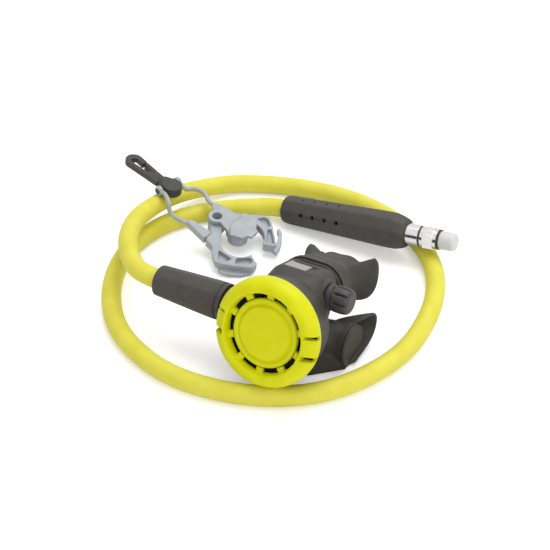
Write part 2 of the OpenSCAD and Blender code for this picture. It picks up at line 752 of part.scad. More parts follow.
right_outline = concat(
    [[-18.7, 3], [-26, 9.5], [-28, 12], [-27, 15], [-20.6, 15.8], [-11.8, 14], [-2, 18.5], [6, 23.4],
     [10.6, 23.7], [16, 18.3], [27.5, 3.8], [27, 2], [20.6, -0.3]],
    arc_points([3.5, -3], 16.3, 9, 79, 8),
    [[9, 9]],
    arc_points([0, 0], plug_d / 2, 30, -150, 12),
    [[-10.5, -1]]);

left_jaw_outline = concat(
    [[-13.8, -18.4], [-7.5, -20.7], [-2.5, -28.3], [1.6, -32.4], [5.8, -32], [13.4, -29.2], [25.5, -23.4],
     [26.2, -19], [19.4, -14]],
    arc_points([6.8, -9], 12.4, -20, -146, 12),
    [[-8, -9], [-13.5, 3], [-19.5, -1], [-22, 0], [-14, -11.5]]);

left_finger = [[4.8, -33.6], [7.4, -34.8], [13.5, -34], [20.8, -30], [25.4, -24.4], [25.4, -18.5],
    [23.2, -13.5], [21.4, -14], [21.6, -18], [20.8, -21.3], [17.5, -25.9], [12.8, -28.4], [8, -28]];
right_tail = [[26.5, 1], [30, -0.5], [29.5, 6], [27.5, 11.5], [24, 17.7], [20.4, 20.8], [19.4, 18.8],
    [22.3, 15.5], [25, 9.5], [26, 6]];

module clamp_plate() {
    color("lightslategray") on_clip() {
        difference() {
            union() {
                linear_extrude(half_t) polygon(right_outline);
                linear_extrude(half_t) translate(pivot_at) circle(r = pivot_barrel_d / 2);
                translate([0, 0, -half_t]) linear_extrude(jaw_t) intersection() {
                    polygon(right_outline);
                    translate([-8, -20]) square(60);
                }
                translate([0, 0, -half_t]) linear_extrude(tail_t) polygon(right_tail);
            }
            translate([0, 0, -half_t - 1]) cylinder(r = plug_shank_r + running, h = jaw_t + 2);
            translate([pivot_at[0], pivot_at[1], -1]) cylinder(r = pivot_hole_r, h = half_t + 2);
            translate([0, 0, half_t - pocket_depth]) linear_extrude(jaw_t) {
                polygon([[4.4, 17.9], [7, 21.6], [10.3, 22], [15.2, 16.9], [13.4, 14.6]]);
                polygon([[15.2, 13], [17.1, 14.7], [25.6, 4.4], [24.6, 2.8], [21.2, 1.4]]);
            }
        }
    }
}

module left_jaw() {
    barrel_len = 8.2;
    pad_up = 1.4;
    finger_t = 2;
    web_t = half_t - free_gap;
    under = half_t - left_jaw_t;
    color("lightslategray") on_clip() difference() {
        union() {
            translate([0, 0, -half_t]) linear_extrude(web_t) intersection() {
                polygon(left_jaw_outline);
                translate([-40, -20]) square([40, 42]);
            }
            translate([0, 0, under]) linear_extrude(left_jaw_t) intersection() {
                polygon(left_jaw_outline);
                translate([-40, -51]) square([80, 42]);
            }
            translate([0, 0, -1]) linear_extrude(half_t + 1 + pad_up)
                polygon([[-32, -12.6], [-15, -19], [-13.5, -11.5], [-32.4, -8.8]]);
            translate([0, 0, -half_t]) linear_extrude(finger_t) polygon(left_finger);
            translate([0, 0, -half_t]) linear_extrude(jaw_t - 1)
                polygon([[2, -31.6], [7, -31.2], [10.5, -30], [9, -28.2], [1, -28.6]]);
            translate([pivot_at[0], pivot_at[1], -barrel_len - free_gap])
                cylinder(r = pivot_barrel_d / 2, h = barrel_len);
        }
        translate([pivot_at[0], pivot_at[1], -20]) cylinder(r = pivot_d / 2 + running, h = 40);
        translate([0, 0, half_t - pocket_depth]) linear_extrude(jaw_t) {
            polygon([[-1.4, -22], [9.8, -24], [8.4, -27.9], [5.6, -29.9], [2.6, -29.4]]);
            polygon([[12.6, -23.4], [12.4, -21.8], [19, -16.4], [21.6, -17.2], [22.6, -20.4],
                [14.2, -26.6]]);
        }
    }
}

module mouth_plug() {
    head_t = 2;
    star = [[-6.1, 0], [-6.8, 6.6], [-4.8, 9.7], [-5.8, 15.5], [-0.5, 16.6], [5, 16.1], [9.7, 7.4],
        [11.9, 6.1], [11.2, -1.3], [8.6, -1.7], [6.5, -5.6], [-2, -7.2]];
    color("lightslategray") on_clip() {
        translate([0, 0, half_t]) linear_extrude(head_t) polygon(star);
        translate([0, 0, -half_t]) cylinder(r = plug_shank_r, h = jaw_t);
        translate([0, 0, -half_t - plug_len]) cylinder(r = plug_d / 2, h = plug_len);
    }
}

module pivot_pin() {
    pin_len = 8.2 + 2 * free_gap;
    head_r = pivot_d / 2 + 1;
    head_t = 1;
    color("lightslategray") on_clip() translate([pivot_at[0], pivot_at[1], -pin_len - head_t])
        difference() {
            union() {
                cylinder(r = pivot_d / 2, h = pin_len + head_t);
                cylinder(r = head_r, h = head_t);
            }
            translate([0, 0, -1]) cylinder(r = pivot_hole_r, h = pin_len + head_t + 2);
        }
}

// The arms curve down from the hook to the jaws
left_arm_route = [[-97.2, 17.2, 30.4], [-94.5, 16.3, 30.4], [-90.5, 13.6, 29.3], [-88, 11.4, 26.8],
    [-87.7, 11, 23.8], [-86.8, 11, 20.5], [-84, 11.2, 18.2], [-80, 11.6, 16.8], [-76, 12, 15.9],
    [-71, 12.3, 14.8]];
right_arm_route = [[-92.8, 34.2, 29.4], [-90.5, 32.9, 28.3], [-88.3, 33.6, 26.5], [-86.8, 37.8, 24.8],
    [-84.8, 42.2, 22.6], [-81.5, 44, 20.6], [-77.8, 42.4, 19], [-74.5, 39.8, 17.8], [-70, 38.5, 16.9]];

function spline_point(a, b, c, d, t) =
    0.5 * (2 * b + (c - a) * t + (2 * a - 5 * b + 4 * c - d) * t * t + (3 * b - 3 * c + d - a) * t * t * t);
function smooth(p, steps) = let (n = len(p)) concat(
    [for (i = [0:n - 2], k = [0:steps - 1])
        spline_point(p[max(i - 1, 0)], p[i], p[i + 1], p[min(i + 2, n - 1)], k / steps)], [p[n - 1]]);

base_half = 6.5;
pin_r = 1.8;
eye_r = 3.2;
eye_w = 3;
module arm_eye(side) {
    inner = base_half + free_gap;
    on_hook() rotate([90, 0, 0]) translate([0, 0, side > 0 ? -inner - eye_w : inner])
        tube(eye_r, pin_r + running, eye_w);
}
module left_arm() {
    color("lightslategray") {
        arm_eye(1);
        at_origin() swept(smooth(left_arm_route, 3), arm_d / 2, 8, [0, 1, 0]);
    }
}
module right_arm() {
    color("lightslategray") {
        arm_eye(-1);
        at_origin() swept(smooth(right_arm_route, 3), arm_d / 2, 8, [0, 0, 1]);
    }
}

socket_x = -4.5;
head_r = shank_d / 2 + 0.7;
head_t = 2.4;
base_front = 6;
module swivel_base() {
    base_h = 7.6;
    heel_x = -4;
    heel_bevel = 1.5;
    color("dimgray") on_hook() difference() {
        union() {
            hull() {
                translate([heel_x, 0, heel_bevel - base_h / 2])
                    cylinder(r = base_half, h = base_h - heel_bevel, $fn = 48);
                translate([heel_x, 0, -base_h / 2]) cylinder(r = base_half - heel_bevel, h = 1, $fn = 48);
                translate([base_front - 1, 0, 0]) along_x() cylinder(r = shank_d / 2 + 2, h = 1, $fn = 40);
            }
            rotate([90, 0, 0]) translate([0, 0, -base_half - free_gap - eye_w])
                cylinder(r = pin_r, h = 2 * (base_half + free_gap + eye_w));
        }
        translate([socket_x + 1, 0, 0]) along_x()
            cylinder(r = shank_d / 2 + running, h = base_front - socket_x);
        translate([socket_x, 0, 0]) along_x()
            cylinder(r = head_r + free_gap, h = head_t + 2 * free_gap);
    }
}

hook_x = base_front + free_gap;
slot_x = hook_x + 9;
module hook_outline() {
    tip_r = hook_w / 2;
    hull() {
        translate([hook_x + hook_len - tip_r, 0]) circle(r = tip_r, $fn = 40);
        translate([hook_x, 3 - hook_w / 2]) square([1, hook_w - 4]);
    }
}
gate_w = 3.4;
gate_x = hook_x + 21;
gate_travel = 8;
gate_root = [slot_x + 1.2, -hook_w / 2 + 3.5];
knuckle_r = 1.7;
module gate_outline() {
    translate(gate_root) circle(r = knuckle_r, $fn = 32);
    polygon([[gate_root[0], gate_root[1] - knuckle_r], [gate_x - 0.7, -hook_w / 2 + 0.8],
        [gate_x, -hook_w / 2 + 1.6], [gate_x, -hook_w / 2 + gate_w],
        [gate_root[0], gate_root[1] + knuckle_r]]);
}
module snap_hook() {
    color("dimgray") on_hook() {
        translate([0, 0, -hook_t / 2]) linear_extrude(hook_t) difference() {
            hook_outline();
            hull() {
                translate([hook_x + hook_len - hook_w / 2 - 1, 0.4]) circle(r = 2.2, $fn = 24);
                translate([slot_x + 4, 1.2]) circle(r = 0.9, $fn = 24);
            }
            for (a = [0, gate_travel / 2, gate_travel]) translate(gate_root) rotate(a) translate(-gate_root)
                offset(delta = free_gap) gate_outline();
            translate([gate_root[0], -hook_w]) square([gate_x - gate_root[0] + free_gap, hook_w / 2 + 2]);
        }
        translate([socket_x + free_gap, 0, 0]) along_x() {
            cylinder(r = shank_d / 2, h = hook_x + 2.5 - socket_x);
            cylinder(r = head_r, h = head_t);
        }
    }
}
module snap_gate() {
    gate_t = hook_t - 2 * free_gap;
    color("dimgray") on_hook() translate([0, 0, -gate_t / 2]) linear_extrude(gate_t) gate_outline();
}

cover_ring();
purge_button();
purge_spring();
diaphragm();
diaphragm_plate();
diaphragm_ring();
case();
label_plate();
valve_barrel();
inlet_fitting();
inlet_nut();
barrel_plug();
poppet();
poppet_seat();
poppet_spring();
demand_lever();
venturi_knob();
exhaust_valve();
exhaust_tee();
mouthpiece();
mouthpiece_tie();
hose_nut();
ferrule_a();
hose_sleeve_a();
hose();
hose_sleeve_b();
ferrule_b();
ferrule_ring();
end_fitting();
fitting_ring();
thread_cap();
clamp_plate();
left_jaw();
mouth_plug();
pivot_pin();
left_arm();
right_arm();
swivel_base();
snap_hook();
snap_gate();
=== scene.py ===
# %% [markdown]
# # An octopus regulator on its coiled hose
# A diver's spare second stage lies on a white table: a round case with a lemon-yellow cover, a rubber
# mouthpiece and an exhaust tee, on a metre of yellow hose. A grey two-jaw holder with a snap hook lies
# beside it. The solids come from a CAD model that fixes every size. This lesson dresses them: most pieces
# are surfaces worked out with numpy, and the rest keep their solids and get a finish.

import json
import bpy
import bmesh
import numpy as np
from mathutils import Vector
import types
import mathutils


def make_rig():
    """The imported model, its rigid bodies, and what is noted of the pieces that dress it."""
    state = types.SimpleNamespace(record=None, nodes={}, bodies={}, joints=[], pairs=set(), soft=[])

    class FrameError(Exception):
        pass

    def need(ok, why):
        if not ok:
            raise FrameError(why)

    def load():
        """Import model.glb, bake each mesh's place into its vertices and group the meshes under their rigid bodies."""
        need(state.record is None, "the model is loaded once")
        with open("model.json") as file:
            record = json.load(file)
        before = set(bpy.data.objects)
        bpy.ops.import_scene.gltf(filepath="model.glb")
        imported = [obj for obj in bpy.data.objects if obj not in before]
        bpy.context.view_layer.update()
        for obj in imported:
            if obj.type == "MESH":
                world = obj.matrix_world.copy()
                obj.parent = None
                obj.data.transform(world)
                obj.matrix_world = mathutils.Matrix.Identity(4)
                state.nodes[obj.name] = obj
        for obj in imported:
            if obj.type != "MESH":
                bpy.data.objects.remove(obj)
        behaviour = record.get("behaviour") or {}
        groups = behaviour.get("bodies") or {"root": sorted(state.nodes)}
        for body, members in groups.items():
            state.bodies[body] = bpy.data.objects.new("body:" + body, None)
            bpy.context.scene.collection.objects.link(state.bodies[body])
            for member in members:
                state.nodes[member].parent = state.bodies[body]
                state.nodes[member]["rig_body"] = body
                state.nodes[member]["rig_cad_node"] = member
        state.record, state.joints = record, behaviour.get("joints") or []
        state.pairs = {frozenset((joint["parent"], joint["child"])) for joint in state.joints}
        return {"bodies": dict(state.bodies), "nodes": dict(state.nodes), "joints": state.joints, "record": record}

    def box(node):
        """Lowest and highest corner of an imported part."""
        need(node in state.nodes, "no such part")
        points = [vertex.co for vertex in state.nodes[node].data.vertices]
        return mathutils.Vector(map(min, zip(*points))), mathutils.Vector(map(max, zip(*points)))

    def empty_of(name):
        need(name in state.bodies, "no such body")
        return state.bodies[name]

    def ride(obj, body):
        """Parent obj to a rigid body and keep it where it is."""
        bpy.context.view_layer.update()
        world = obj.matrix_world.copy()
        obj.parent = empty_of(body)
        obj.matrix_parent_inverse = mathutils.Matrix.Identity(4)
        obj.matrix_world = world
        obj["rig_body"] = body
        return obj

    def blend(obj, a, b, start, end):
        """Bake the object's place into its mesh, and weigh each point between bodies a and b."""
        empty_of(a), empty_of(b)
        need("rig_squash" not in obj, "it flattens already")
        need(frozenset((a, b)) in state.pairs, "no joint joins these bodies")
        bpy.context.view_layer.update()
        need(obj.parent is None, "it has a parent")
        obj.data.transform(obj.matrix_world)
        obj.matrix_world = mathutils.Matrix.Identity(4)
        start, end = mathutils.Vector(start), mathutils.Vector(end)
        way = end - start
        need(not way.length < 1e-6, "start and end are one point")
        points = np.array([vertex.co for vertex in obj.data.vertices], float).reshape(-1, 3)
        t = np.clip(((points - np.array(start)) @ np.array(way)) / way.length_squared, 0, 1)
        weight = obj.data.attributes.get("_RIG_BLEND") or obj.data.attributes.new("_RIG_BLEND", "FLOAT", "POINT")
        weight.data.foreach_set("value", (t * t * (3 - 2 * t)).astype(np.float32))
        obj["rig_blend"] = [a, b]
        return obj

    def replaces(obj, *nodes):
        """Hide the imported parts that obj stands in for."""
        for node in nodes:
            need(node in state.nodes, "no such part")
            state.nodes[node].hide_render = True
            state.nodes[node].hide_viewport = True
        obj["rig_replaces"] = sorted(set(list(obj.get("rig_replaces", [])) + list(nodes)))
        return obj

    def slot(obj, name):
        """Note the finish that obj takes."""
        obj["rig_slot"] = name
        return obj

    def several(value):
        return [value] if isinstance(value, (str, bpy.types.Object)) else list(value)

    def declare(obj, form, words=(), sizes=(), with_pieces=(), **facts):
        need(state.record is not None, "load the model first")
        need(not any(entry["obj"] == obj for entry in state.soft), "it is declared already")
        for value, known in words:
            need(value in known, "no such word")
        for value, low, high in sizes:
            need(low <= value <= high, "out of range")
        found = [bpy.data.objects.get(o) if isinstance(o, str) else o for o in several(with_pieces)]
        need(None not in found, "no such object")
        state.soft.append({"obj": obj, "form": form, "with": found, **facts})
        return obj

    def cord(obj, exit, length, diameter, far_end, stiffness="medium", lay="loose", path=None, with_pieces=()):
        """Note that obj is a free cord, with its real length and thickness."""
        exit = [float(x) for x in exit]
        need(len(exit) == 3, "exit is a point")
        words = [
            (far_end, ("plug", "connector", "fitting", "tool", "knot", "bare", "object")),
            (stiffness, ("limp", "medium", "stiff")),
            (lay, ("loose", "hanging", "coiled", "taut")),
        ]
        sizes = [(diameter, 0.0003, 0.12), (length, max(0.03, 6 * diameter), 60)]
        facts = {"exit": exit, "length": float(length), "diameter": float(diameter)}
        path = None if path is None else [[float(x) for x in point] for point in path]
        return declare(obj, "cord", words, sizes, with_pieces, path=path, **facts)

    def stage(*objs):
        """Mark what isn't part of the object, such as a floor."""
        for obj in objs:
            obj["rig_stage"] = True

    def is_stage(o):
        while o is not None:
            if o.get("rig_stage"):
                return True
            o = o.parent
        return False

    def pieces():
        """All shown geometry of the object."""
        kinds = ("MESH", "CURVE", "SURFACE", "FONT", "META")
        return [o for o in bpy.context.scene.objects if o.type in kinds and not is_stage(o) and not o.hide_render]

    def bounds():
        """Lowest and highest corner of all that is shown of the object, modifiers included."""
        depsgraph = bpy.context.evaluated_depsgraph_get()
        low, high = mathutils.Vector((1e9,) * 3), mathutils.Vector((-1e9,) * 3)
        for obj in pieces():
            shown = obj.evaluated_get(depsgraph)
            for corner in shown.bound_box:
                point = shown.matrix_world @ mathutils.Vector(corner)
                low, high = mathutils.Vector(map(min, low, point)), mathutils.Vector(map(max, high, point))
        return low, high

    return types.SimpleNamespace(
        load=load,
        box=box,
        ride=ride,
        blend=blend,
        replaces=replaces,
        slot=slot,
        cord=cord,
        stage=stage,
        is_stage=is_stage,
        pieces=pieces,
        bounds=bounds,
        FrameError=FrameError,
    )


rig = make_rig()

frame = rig.load()
cad_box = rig.bounds()
nodes = frame["nodes"]
MM = 0.001
print(len(nodes), "solids, box in mm:", [[round(v / MM, 1) for v in corner] for corner in cad_box])

# %% [markdown]
# ## Four places to measure from
# The second stage leans back, the far end of the hose rises a little, and the hook is turned its own way. It
# is easier to describe a piece where it stands straight, so each of them has a place: a turn and a shift that
# take straight millimetres into the set's own metres. The table is the fourth place, with no turn.


# %% Places
def turned(degrees, axis):
    """The matrix that turns a point about one axis: x and y mix by the angle's cosine and sine."""
    c, s = np.cos(np.radians(degrees)), np.sin(np.radians(degrees))
    a, b = [(1, 2), (2, 0), (0, 1)][axis]
    m = np.eye(3)
    m[a, a], m[a, b], m[b, a], m[b, b] = c, -s, s, c
    return m


CENTRE = np.array([-26.5, -33.7, 0.0])
STAGE_UP, STAGE_LEAN = 44.7, 17.5
FAR_AT, FAR_RISE = np.array([-30, 68, 10]), 6


class Place:
    """A turn, then a shift, from straight millimetres to the set's metres. The set's own centre is not the
    hose loop's, so the shift takes that off too."""

    def __init__(self, at, *turns):
        self.at = np.array(at, float) - CENTRE
        self.turn = np.eye(3)
        for turn in turns:
            self.turn = self.turn @ turn

    def __call__(self, points):
        return (np.asarray(points, float) @ self.turn.T + self.at) * MM


TABLE = Place([0, 0, 0])
STAGE = Place([50.8, -101.4, STAGE_UP], turned(-STAGE_LEAN, 0))
FAR_END = Place(FAR_AT, turned(-FAR_RISE, 1))
HOOK = Place([-97.6, 25.9, 30.2], turned(165, 2), turned(-8, 1))
print("cover's middle:", np.round(STAGE([0, 0, 0]), 4))

# %% [markdown]
# ## The camera
# The camera looks down at 35 degrees from the cover's side, about a metre away, through a long lens, so
# the hose's loop shows as an oval and the cover faces us.

# %% Camera
HOSE_R = 6.25
azimuth, elevation, distance = np.radians(29.5), np.radians(35.0), 971.5
FILM_MM, PICTURE_WIDTH, FOCAL_PIXELS = 36.0, 550, 1500
back = np.array(
    [np.sin(azimuth) * np.cos(elevation), -np.cos(azimuth) * np.cos(elevation), np.sin(elevation)]
)


def placed(name, data):
    """An object in the scene that holds a mesh, a lamp or a camera."""
    item = bpy.data.objects.new(name, data)
    bpy.context.scene.collection.objects.link(item)
    return item


camera_data = bpy.data.cameras.new("camera")
camera_data.sensor_width = FILM_MM
camera_data.lens = FILM_MM * FOCAL_PIXELS / PICTURE_WIDTH
camera_data.clip_start, camera_data.clip_end = 0.05, 20
camera = placed("camera", camera_data)
camera.location = TABLE(np.array([0, 0, HOSE_R]) + distance * back)
camera.rotation_mode = "QUATERNION"
camera.rotation_quaternion = Vector(-back).to_track_quat("-Z", "Y")
bpy.context.scene.camera = camera
print("lens", round(camera_data.lens, 1), "mm")

# %% [markdown]
# ## Surfaces from grids
# Almost every piece here is a grid of points: rows run along it and columns go round it. One function turns
# such a grid into a mesh. Where a row shrinks to a point, the doubles are merged, which leaves a clean pole.


# %% Grid to mesh
def grid_quads(rows, columns):
    """The point numbers of each quad between neighbours in a grid; the last column joins the first."""
    index = np.arange(rows * columns).reshape(rows, columns)
    right = np.roll(index, -1, 1)
    return np.stack([index[:-1], right[:-1], right[1:], index[1:]], -1).reshape(-1, 4)


def grid_mesh(name, grid, smooth_angle=35):
    """A surface over a grid of points of shape (rows, columns, 3), in metres."""
    return finished(name, grid.reshape(-1, 3), grid_quads(*grid.shape[:2]), smooth_angle)


def shaded(piece, smooth_angle):
    """The piece shaded smooth, except over edges sharper than the angle."""
    piece.data.shade_smooth()
    piece.data.set_sharp_from_angle(angle=np.radians(smooth_angle))
    return piece


def finished(name, points, faces, smooth_angle=35):
    """A mesh object from points and faces: doubles merged, normals outwards, shaded smooth below an angle."""
    mesh = bpy.data.meshes.new(name)
    mesh.from_pydata(points, [], faces)
    work = bmesh.new()
    work.from_mesh(mesh)
    bmesh.ops.remove_doubles(work, verts=work.verts, dist=1e-7)
    bmesh.ops.dissolve_degenerate(work, edges=work.edges, dist=1e-8)
    bmesh.ops.recalc_face_normals(work, faces=work.faces)
    work.to_mesh(mesh)
    work.free()
    return shaded(placed(name, mesh), smooth_angle)


def smooth_line(points, steps):
    """A Catmull-Rom line: each point is a cubic blend of the four route points round it."""
    p = np.asarray(points, float)
    p = np.vstack([2 * p[0] - p[1], p, 2 * p[-1] - p[-2]])
    a, b, c, d = p[:-3, None], p[1:-2, None], p[2:-1, None], p[3:, None]
    t = np.linspace(0, 1, steps, endpoint=False)[None, :, None]
    line = 0.5 * (2 * b + (c - a) * t + (2 * a - 5 * b + 4 * c - d) * t**2 + (3 * b - 3 * c + d - a) * t**3)
    return np.vstack([line.reshape(-1, p.shape[1]), p[-2]])


def tube_grid(line, radii, sides, up=(0, 0, 1)):
    """Rings round a line: at each point a circle of that radius, square to the line. `up` is any direction
    that the line never follows; each ring starts from it, so that the rings don't twist."""
    along = np.gradient(line, axis=0)
    along /= np.linalg.norm(along, axis=1, keepdims=True)
    side = np.cross(np.broadcast_to(np.array(up, float), along.shape), along)
    side /= np.linalg.norm(side, axis=1, keepdims=True)
    over = np.cross(along, side)
    turn = np.linspace(0, 2 * np.pi, sides, endpoint=False)
    ring = np.cos(turn)[None, :, None] * side[:, None] + np.sin(turn)[None, :, None] * over[:, None]
    return line[:, None] + np.asarray(radii, float).reshape(-1, 1, 1) * ring


def revolved(name, place, outline, sides=96, along="x", start=(0, 0, 0), smooth_angle=35):
    """A round piece: an outline of (distance along, radius) turned about the x or y axis of the place."""
    outline = np.asarray(outline, float)
    turn = np.linspace(0, 2 * np.pi, sides, endpoint=False)
    x = np.repeat(outline[:, :1], sides, 1)
    y, z = outline[:, 1:] * np.cos(turn), outline[:, 1:] * np.sin(turn)
    order = {"x": (x, y, z), "y": (z, x, y)}[along]
    return grid_mesh(name, place(np.stack(order, -1) + np.array(start, float)), smooth_angle=smooth_angle)


def rounded_outline(corners, radius, steps=4):
    """An outline whose corners are cut and bent: each one becomes a quadratic curve between two points that
    lie `radius` before and after it."""
    c = np.asarray(corners, float)
    radius = np.broadcast_to(np.asarray(radius, float), (len(c),))
    out = [c[:1]]
    for i in range(1, len(c) - 1):
        before, after = c[i - 1] - c[i], c[i + 1] - c[i]
        reach = min(radius[i], np.linalg.norm(before) * 0.48, np.linalg.norm(after) * 0.48)
        a = c[i] + before / np.linalg.norm(before) * reach
        b = c[i] + after / np.linalg.norm(after) * reach
        t = np.linspace(0, 1, steps + 1)[:, None]
        out.append((1 - t) ** 2 * a + 2 * t * (1 - t) * c[i] + t**2 * b)
    out.append(c[-1:])
    return np.vstack(out)


# %% [markdown]
# ## The hose
# A low-pressure hose is rubber 12.5 mm thick. It leaves the sleeve at the second stage, falls over its own
# strand and goes once round to the second sleeve. The route's points are joined by a smooth cubic line and
# a ring is laid round it every few millimetres.

# %% Hose
INSIDE_SLEEVE_B = 72
hose_route = [
    [-36.7, -77.557, 37.182], [-56, -73, 36.3], [-73, -57.5, 34.2], [-87, -37.5, 30.5], [-97, -14, 26],
    [-100.5, 9, 21.8], [-100.3, 32, 17.4], [-96.5, 55, 11.8], [-84, 79, 7.4], [-70, 90, 6.3],
    [-50, 98.5, 6.3], [-27, 104.5, 6.3], [0, 106, 6.3], [25, 101.5, 6.3], [47, 92.5, 6.3],
    [66, 79.5, 6.3], [82, 63, 6.3], [94, 43.5, 6.3], [102, 22, 6.3], [106.5, -2, 6.3],
    [107.5, -26, 6.3], [103.5, -49, 6.3], [94, -72.5, 6.3], [79.5, -92.5, 6.3], [60, -107, 6.3],
    [38, -116, 6.3], [14, -120, 6.3], [-10, -118.5, 6.3], [-35, -110, 6.3], [-56, -97, 6.3],
    [-73, -79.5, 6.3], [-87, -58, 6.3], [-96, -35, 6.3], [-99.3, -12, 6.3], [-96, 12, 6.3],
    [-86, 33, 6.3], [-71, 50, 6.3], [-52, 62, 7.6], [-30, 68, 10],
]
inside = [[-18.2, -77.557, 37.182]]
rise = np.radians(FAR_RISE)
far = FAR_AT + INSIDE_SLEEVE_B * np.array([np.cos(rise), 0, np.sin(rise)])
hose_line = smooth_line(np.vstack([inside, hose_route, far]), 8)
hose_length = np.linalg.norm(np.diff(hose_line, axis=0), axis=1).sum()
hose = grid_mesh("hose_jacket", TABLE(tube_grid(hose_line, np.full(len(hose_line), HOSE_R), 40)))
print("hose", round(hose_length), "mm long,", len(hose_line), "rings")

# %% [markdown]
# ## Finishes
# A finish is a few lines of arithmetic on patterns. The class below wraps one output socket, so that
# `1 - speck * 0.3` builds the Math nodes by itself. Every other node comes from one method, `add`, which
# takes its type, its settings and what goes into its sockets.


# %% Shader arithmetic
class Value:
    """A number that changes over the surface: an output socket with Python's operators on it."""

    def __init__(self, tree, socket):
        self.tree, self.socket = tree, socket

    def maths(self, operation, *others, clamp=False):
        node = self.tree.nodes.new("ShaderNodeMath")
        node.operation, node.use_clamp = operation, clamp
        for slot, value in zip(node.inputs, others):
            if isinstance(value, Value):
                self.tree.links.new(value.socket, slot)
            else:
                slot.default_value = value
        return Value(self.tree, node.outputs[0])

    def __add__(self, other):
        return self.maths("ADD", self, other)

    def __sub__(self, other):
        return self.maths("SUBTRACT", self, other)

    def __rsub__(self, other):
        return self.maths("SUBTRACT", other, self)

    def __mul__(self, other):
        return self.maths("MULTIPLY", self, other)

    __radd__, __rmul__ = __add__, __mul__

    def step(self, low, high):
        """0 below low, 1 above high, straight between them, and the other way round if low is above high."""
        return self.maths("MULTIPLY", self - low, 1.0 / (high - low), clamp=True)

    def top(self, other):
        return self.maths("MAXIMUM", self, other)


class Finish:
    """A material: a Principled shader and the patterns that drive it."""

    def __init__(self, name, roughness=0.5, **constants):
        self.material = bpy.data.materials.new(name)
        self.material.use_nodes = True
        self.tree = self.material.node_tree
        self.shader = self.tree.nodes["Principled BSDF"]
        self.shader.inputs["Roughness"].default_value = roughness
        for socket, value in constants.items():
            self.shader.inputs[socket.replace("_", " ")].default_value = value
        self.place = self.add("ShaderNodeTexCoord").outputs["Object"]

    def add(self, kind, settings=None, **sockets):
        """A node of a kind: its settings first, then its sockets, by name or as _number."""
        node = self.tree.nodes.new(kind)
        for key, value in (settings or {}).items():
            setattr(node, key, value)
        for key, value in sockets.items():
            number = key[1:]
            self.put(value, node.inputs[int(number) if number.isdigit() else key.replace("_", " ")])
        return node

    def put(self, value, socket):
        if isinstance(value, Value):
            self.tree.links.new(value.socket, socket)
        elif isinstance(value, bpy.types.NodeSocket):
            self.tree.links.new(value, socket)
        else:
            socket.default_value = value

    def noise(self, size_mm, detail=2.0, stretch=(1, 1, 1), rough=0.5):
        """Cloudy noise from 0 to 1, whose blobs are about size_mm wide."""
        where = self.add("ShaderNodeMapping", Vector=self.place, Scale=stretch).outputs[0]
        size = dict(Scale=1000 / size_mm, Detail=detail, Roughness=rough)
        return Value(self.tree, self.add("ShaderNodeTexNoise", Vector=where, **size).outputs["Fac"])

    def cells(self, size_mm):
        """Distance to the nearest of many scattered points, about size_mm apart."""
        node = self.add("ShaderNodeTexVoronoi", Vector=self.place, Scale=1000 / size_mm)
        return Value(self.tree, node.outputs["Distance"])

    def mix(self, factor, one, other):
        """One colour where the factor is 0 and the other where it is 1."""
        node = self.add("ShaderNodeMix", {"data_type": "RGBA"}, _0=factor, _6=one, _7=other)
        return node.outputs[2]

    def colour(self, value):
        self.put(value, self.shader.inputs["Base Color"])
        return self

    def set(self, socket, value):
        self.put(value, self.shader.inputs[socket])
        return self

    def bump(self, height, depth_mm, edge_mm=0.0):
        """Height from 0 to 1 shades as a relief that deep; edge_mm softens the solid's sharp edges."""
        sockets = dict(Height=height, Distance=depth_mm * MM, Strength=1.0)
        if edge_mm:
            sockets["Normal"] = self.add("ShaderNodeBevel", {"samples": 6}, Radius=edge_mm * MM).outputs[0]
        self.put(self.add("ShaderNodeBump", **sockets).outputs[0], self.shader.inputs["Normal"])
        return self


def rgb(r, g, b):
    return (r, g, b, 1.0)


# %% [markdown]
# ## The set's finishes
# The cover is satin lemon-yellow plastic with the fine grain of its mould; the hose is a duller, rubbery
# yellow. The dark parts are never flat black: moulded plastic is a little speckled and scuffed here and
# there, and rubber has a soft bloom. The holder is blue-grey nylon.

# %% Finishes
yellow_cover = Finish("yellow_cover", roughness=0.42, Specular_IOR_Level=0.2)
cloud = yellow_cover.noise(9, 3)
grain = yellow_cover.noise(0.35, 3, rough=0.6)
yellow_cover.colour(
    yellow_cover.mix(cloud.step(0.3, 0.7), rgb(0.615, 0.615, 0.0), rgb(0.67, 0.675, 0.002))
)
yellow_cover.set("Roughness", 0.38 + 0.1 * grain).bump(grain, 0.02, edge_mm=0.35)

hose_yellow = Finish("hose_yellow", roughness=0.55, Specular_IOR_Level=0.35)
cloud = hose_yellow.noise(14, 3)
grain = hose_yellow.noise(0.5, 3, rough=0.6)
dust = hose_yellow.noise(3.0, 5, rough=0.7).step(0.62, 0.8)
hose_yellow.colour(
    hose_yellow.mix(
        dust * 0.25, hose_yellow.mix(cloud.step(0.3, 0.7), rgb(0.66, 0.60, 0.045), rgb(0.72, 0.67, 0.075)),
        rgb(0.76, 0.73, 0.32),
    )
)
hose_yellow.set("Roughness", 0.5 + 0.14 * grain).bump(grain, 0.03)


def dark_plastic(name, low, high, roughness, grain_mm=0.4):
    """Dark plastic or rubber from a mould: a cloudy colour, a fine grain and a few paler specks of wear."""
    finish = Finish(name, roughness=roughness, Specular_IOR_Level=0.3)
    cloud = finish.noise(6, 4, rough=0.6).step(0.3, 0.7)
    grain = finish.noise(grain_mm, 3, rough=0.6)
    specks = finish.cells(1.6).step(0.16, 0.05) * finish.noise(7, 2).step(0.5, 0.62)
    paint = finish.mix(cloud, rgb(*low), rgb(*high))
    finish.colour(finish.mix(specks * 0.35, paint, rgb(*(2.2 * np.array(high)))))
    finish.set("Roughness", roughness - 0.06 + 0.14 * grain).bump(grain, 0.03, edge_mm=0.35)
    return finish


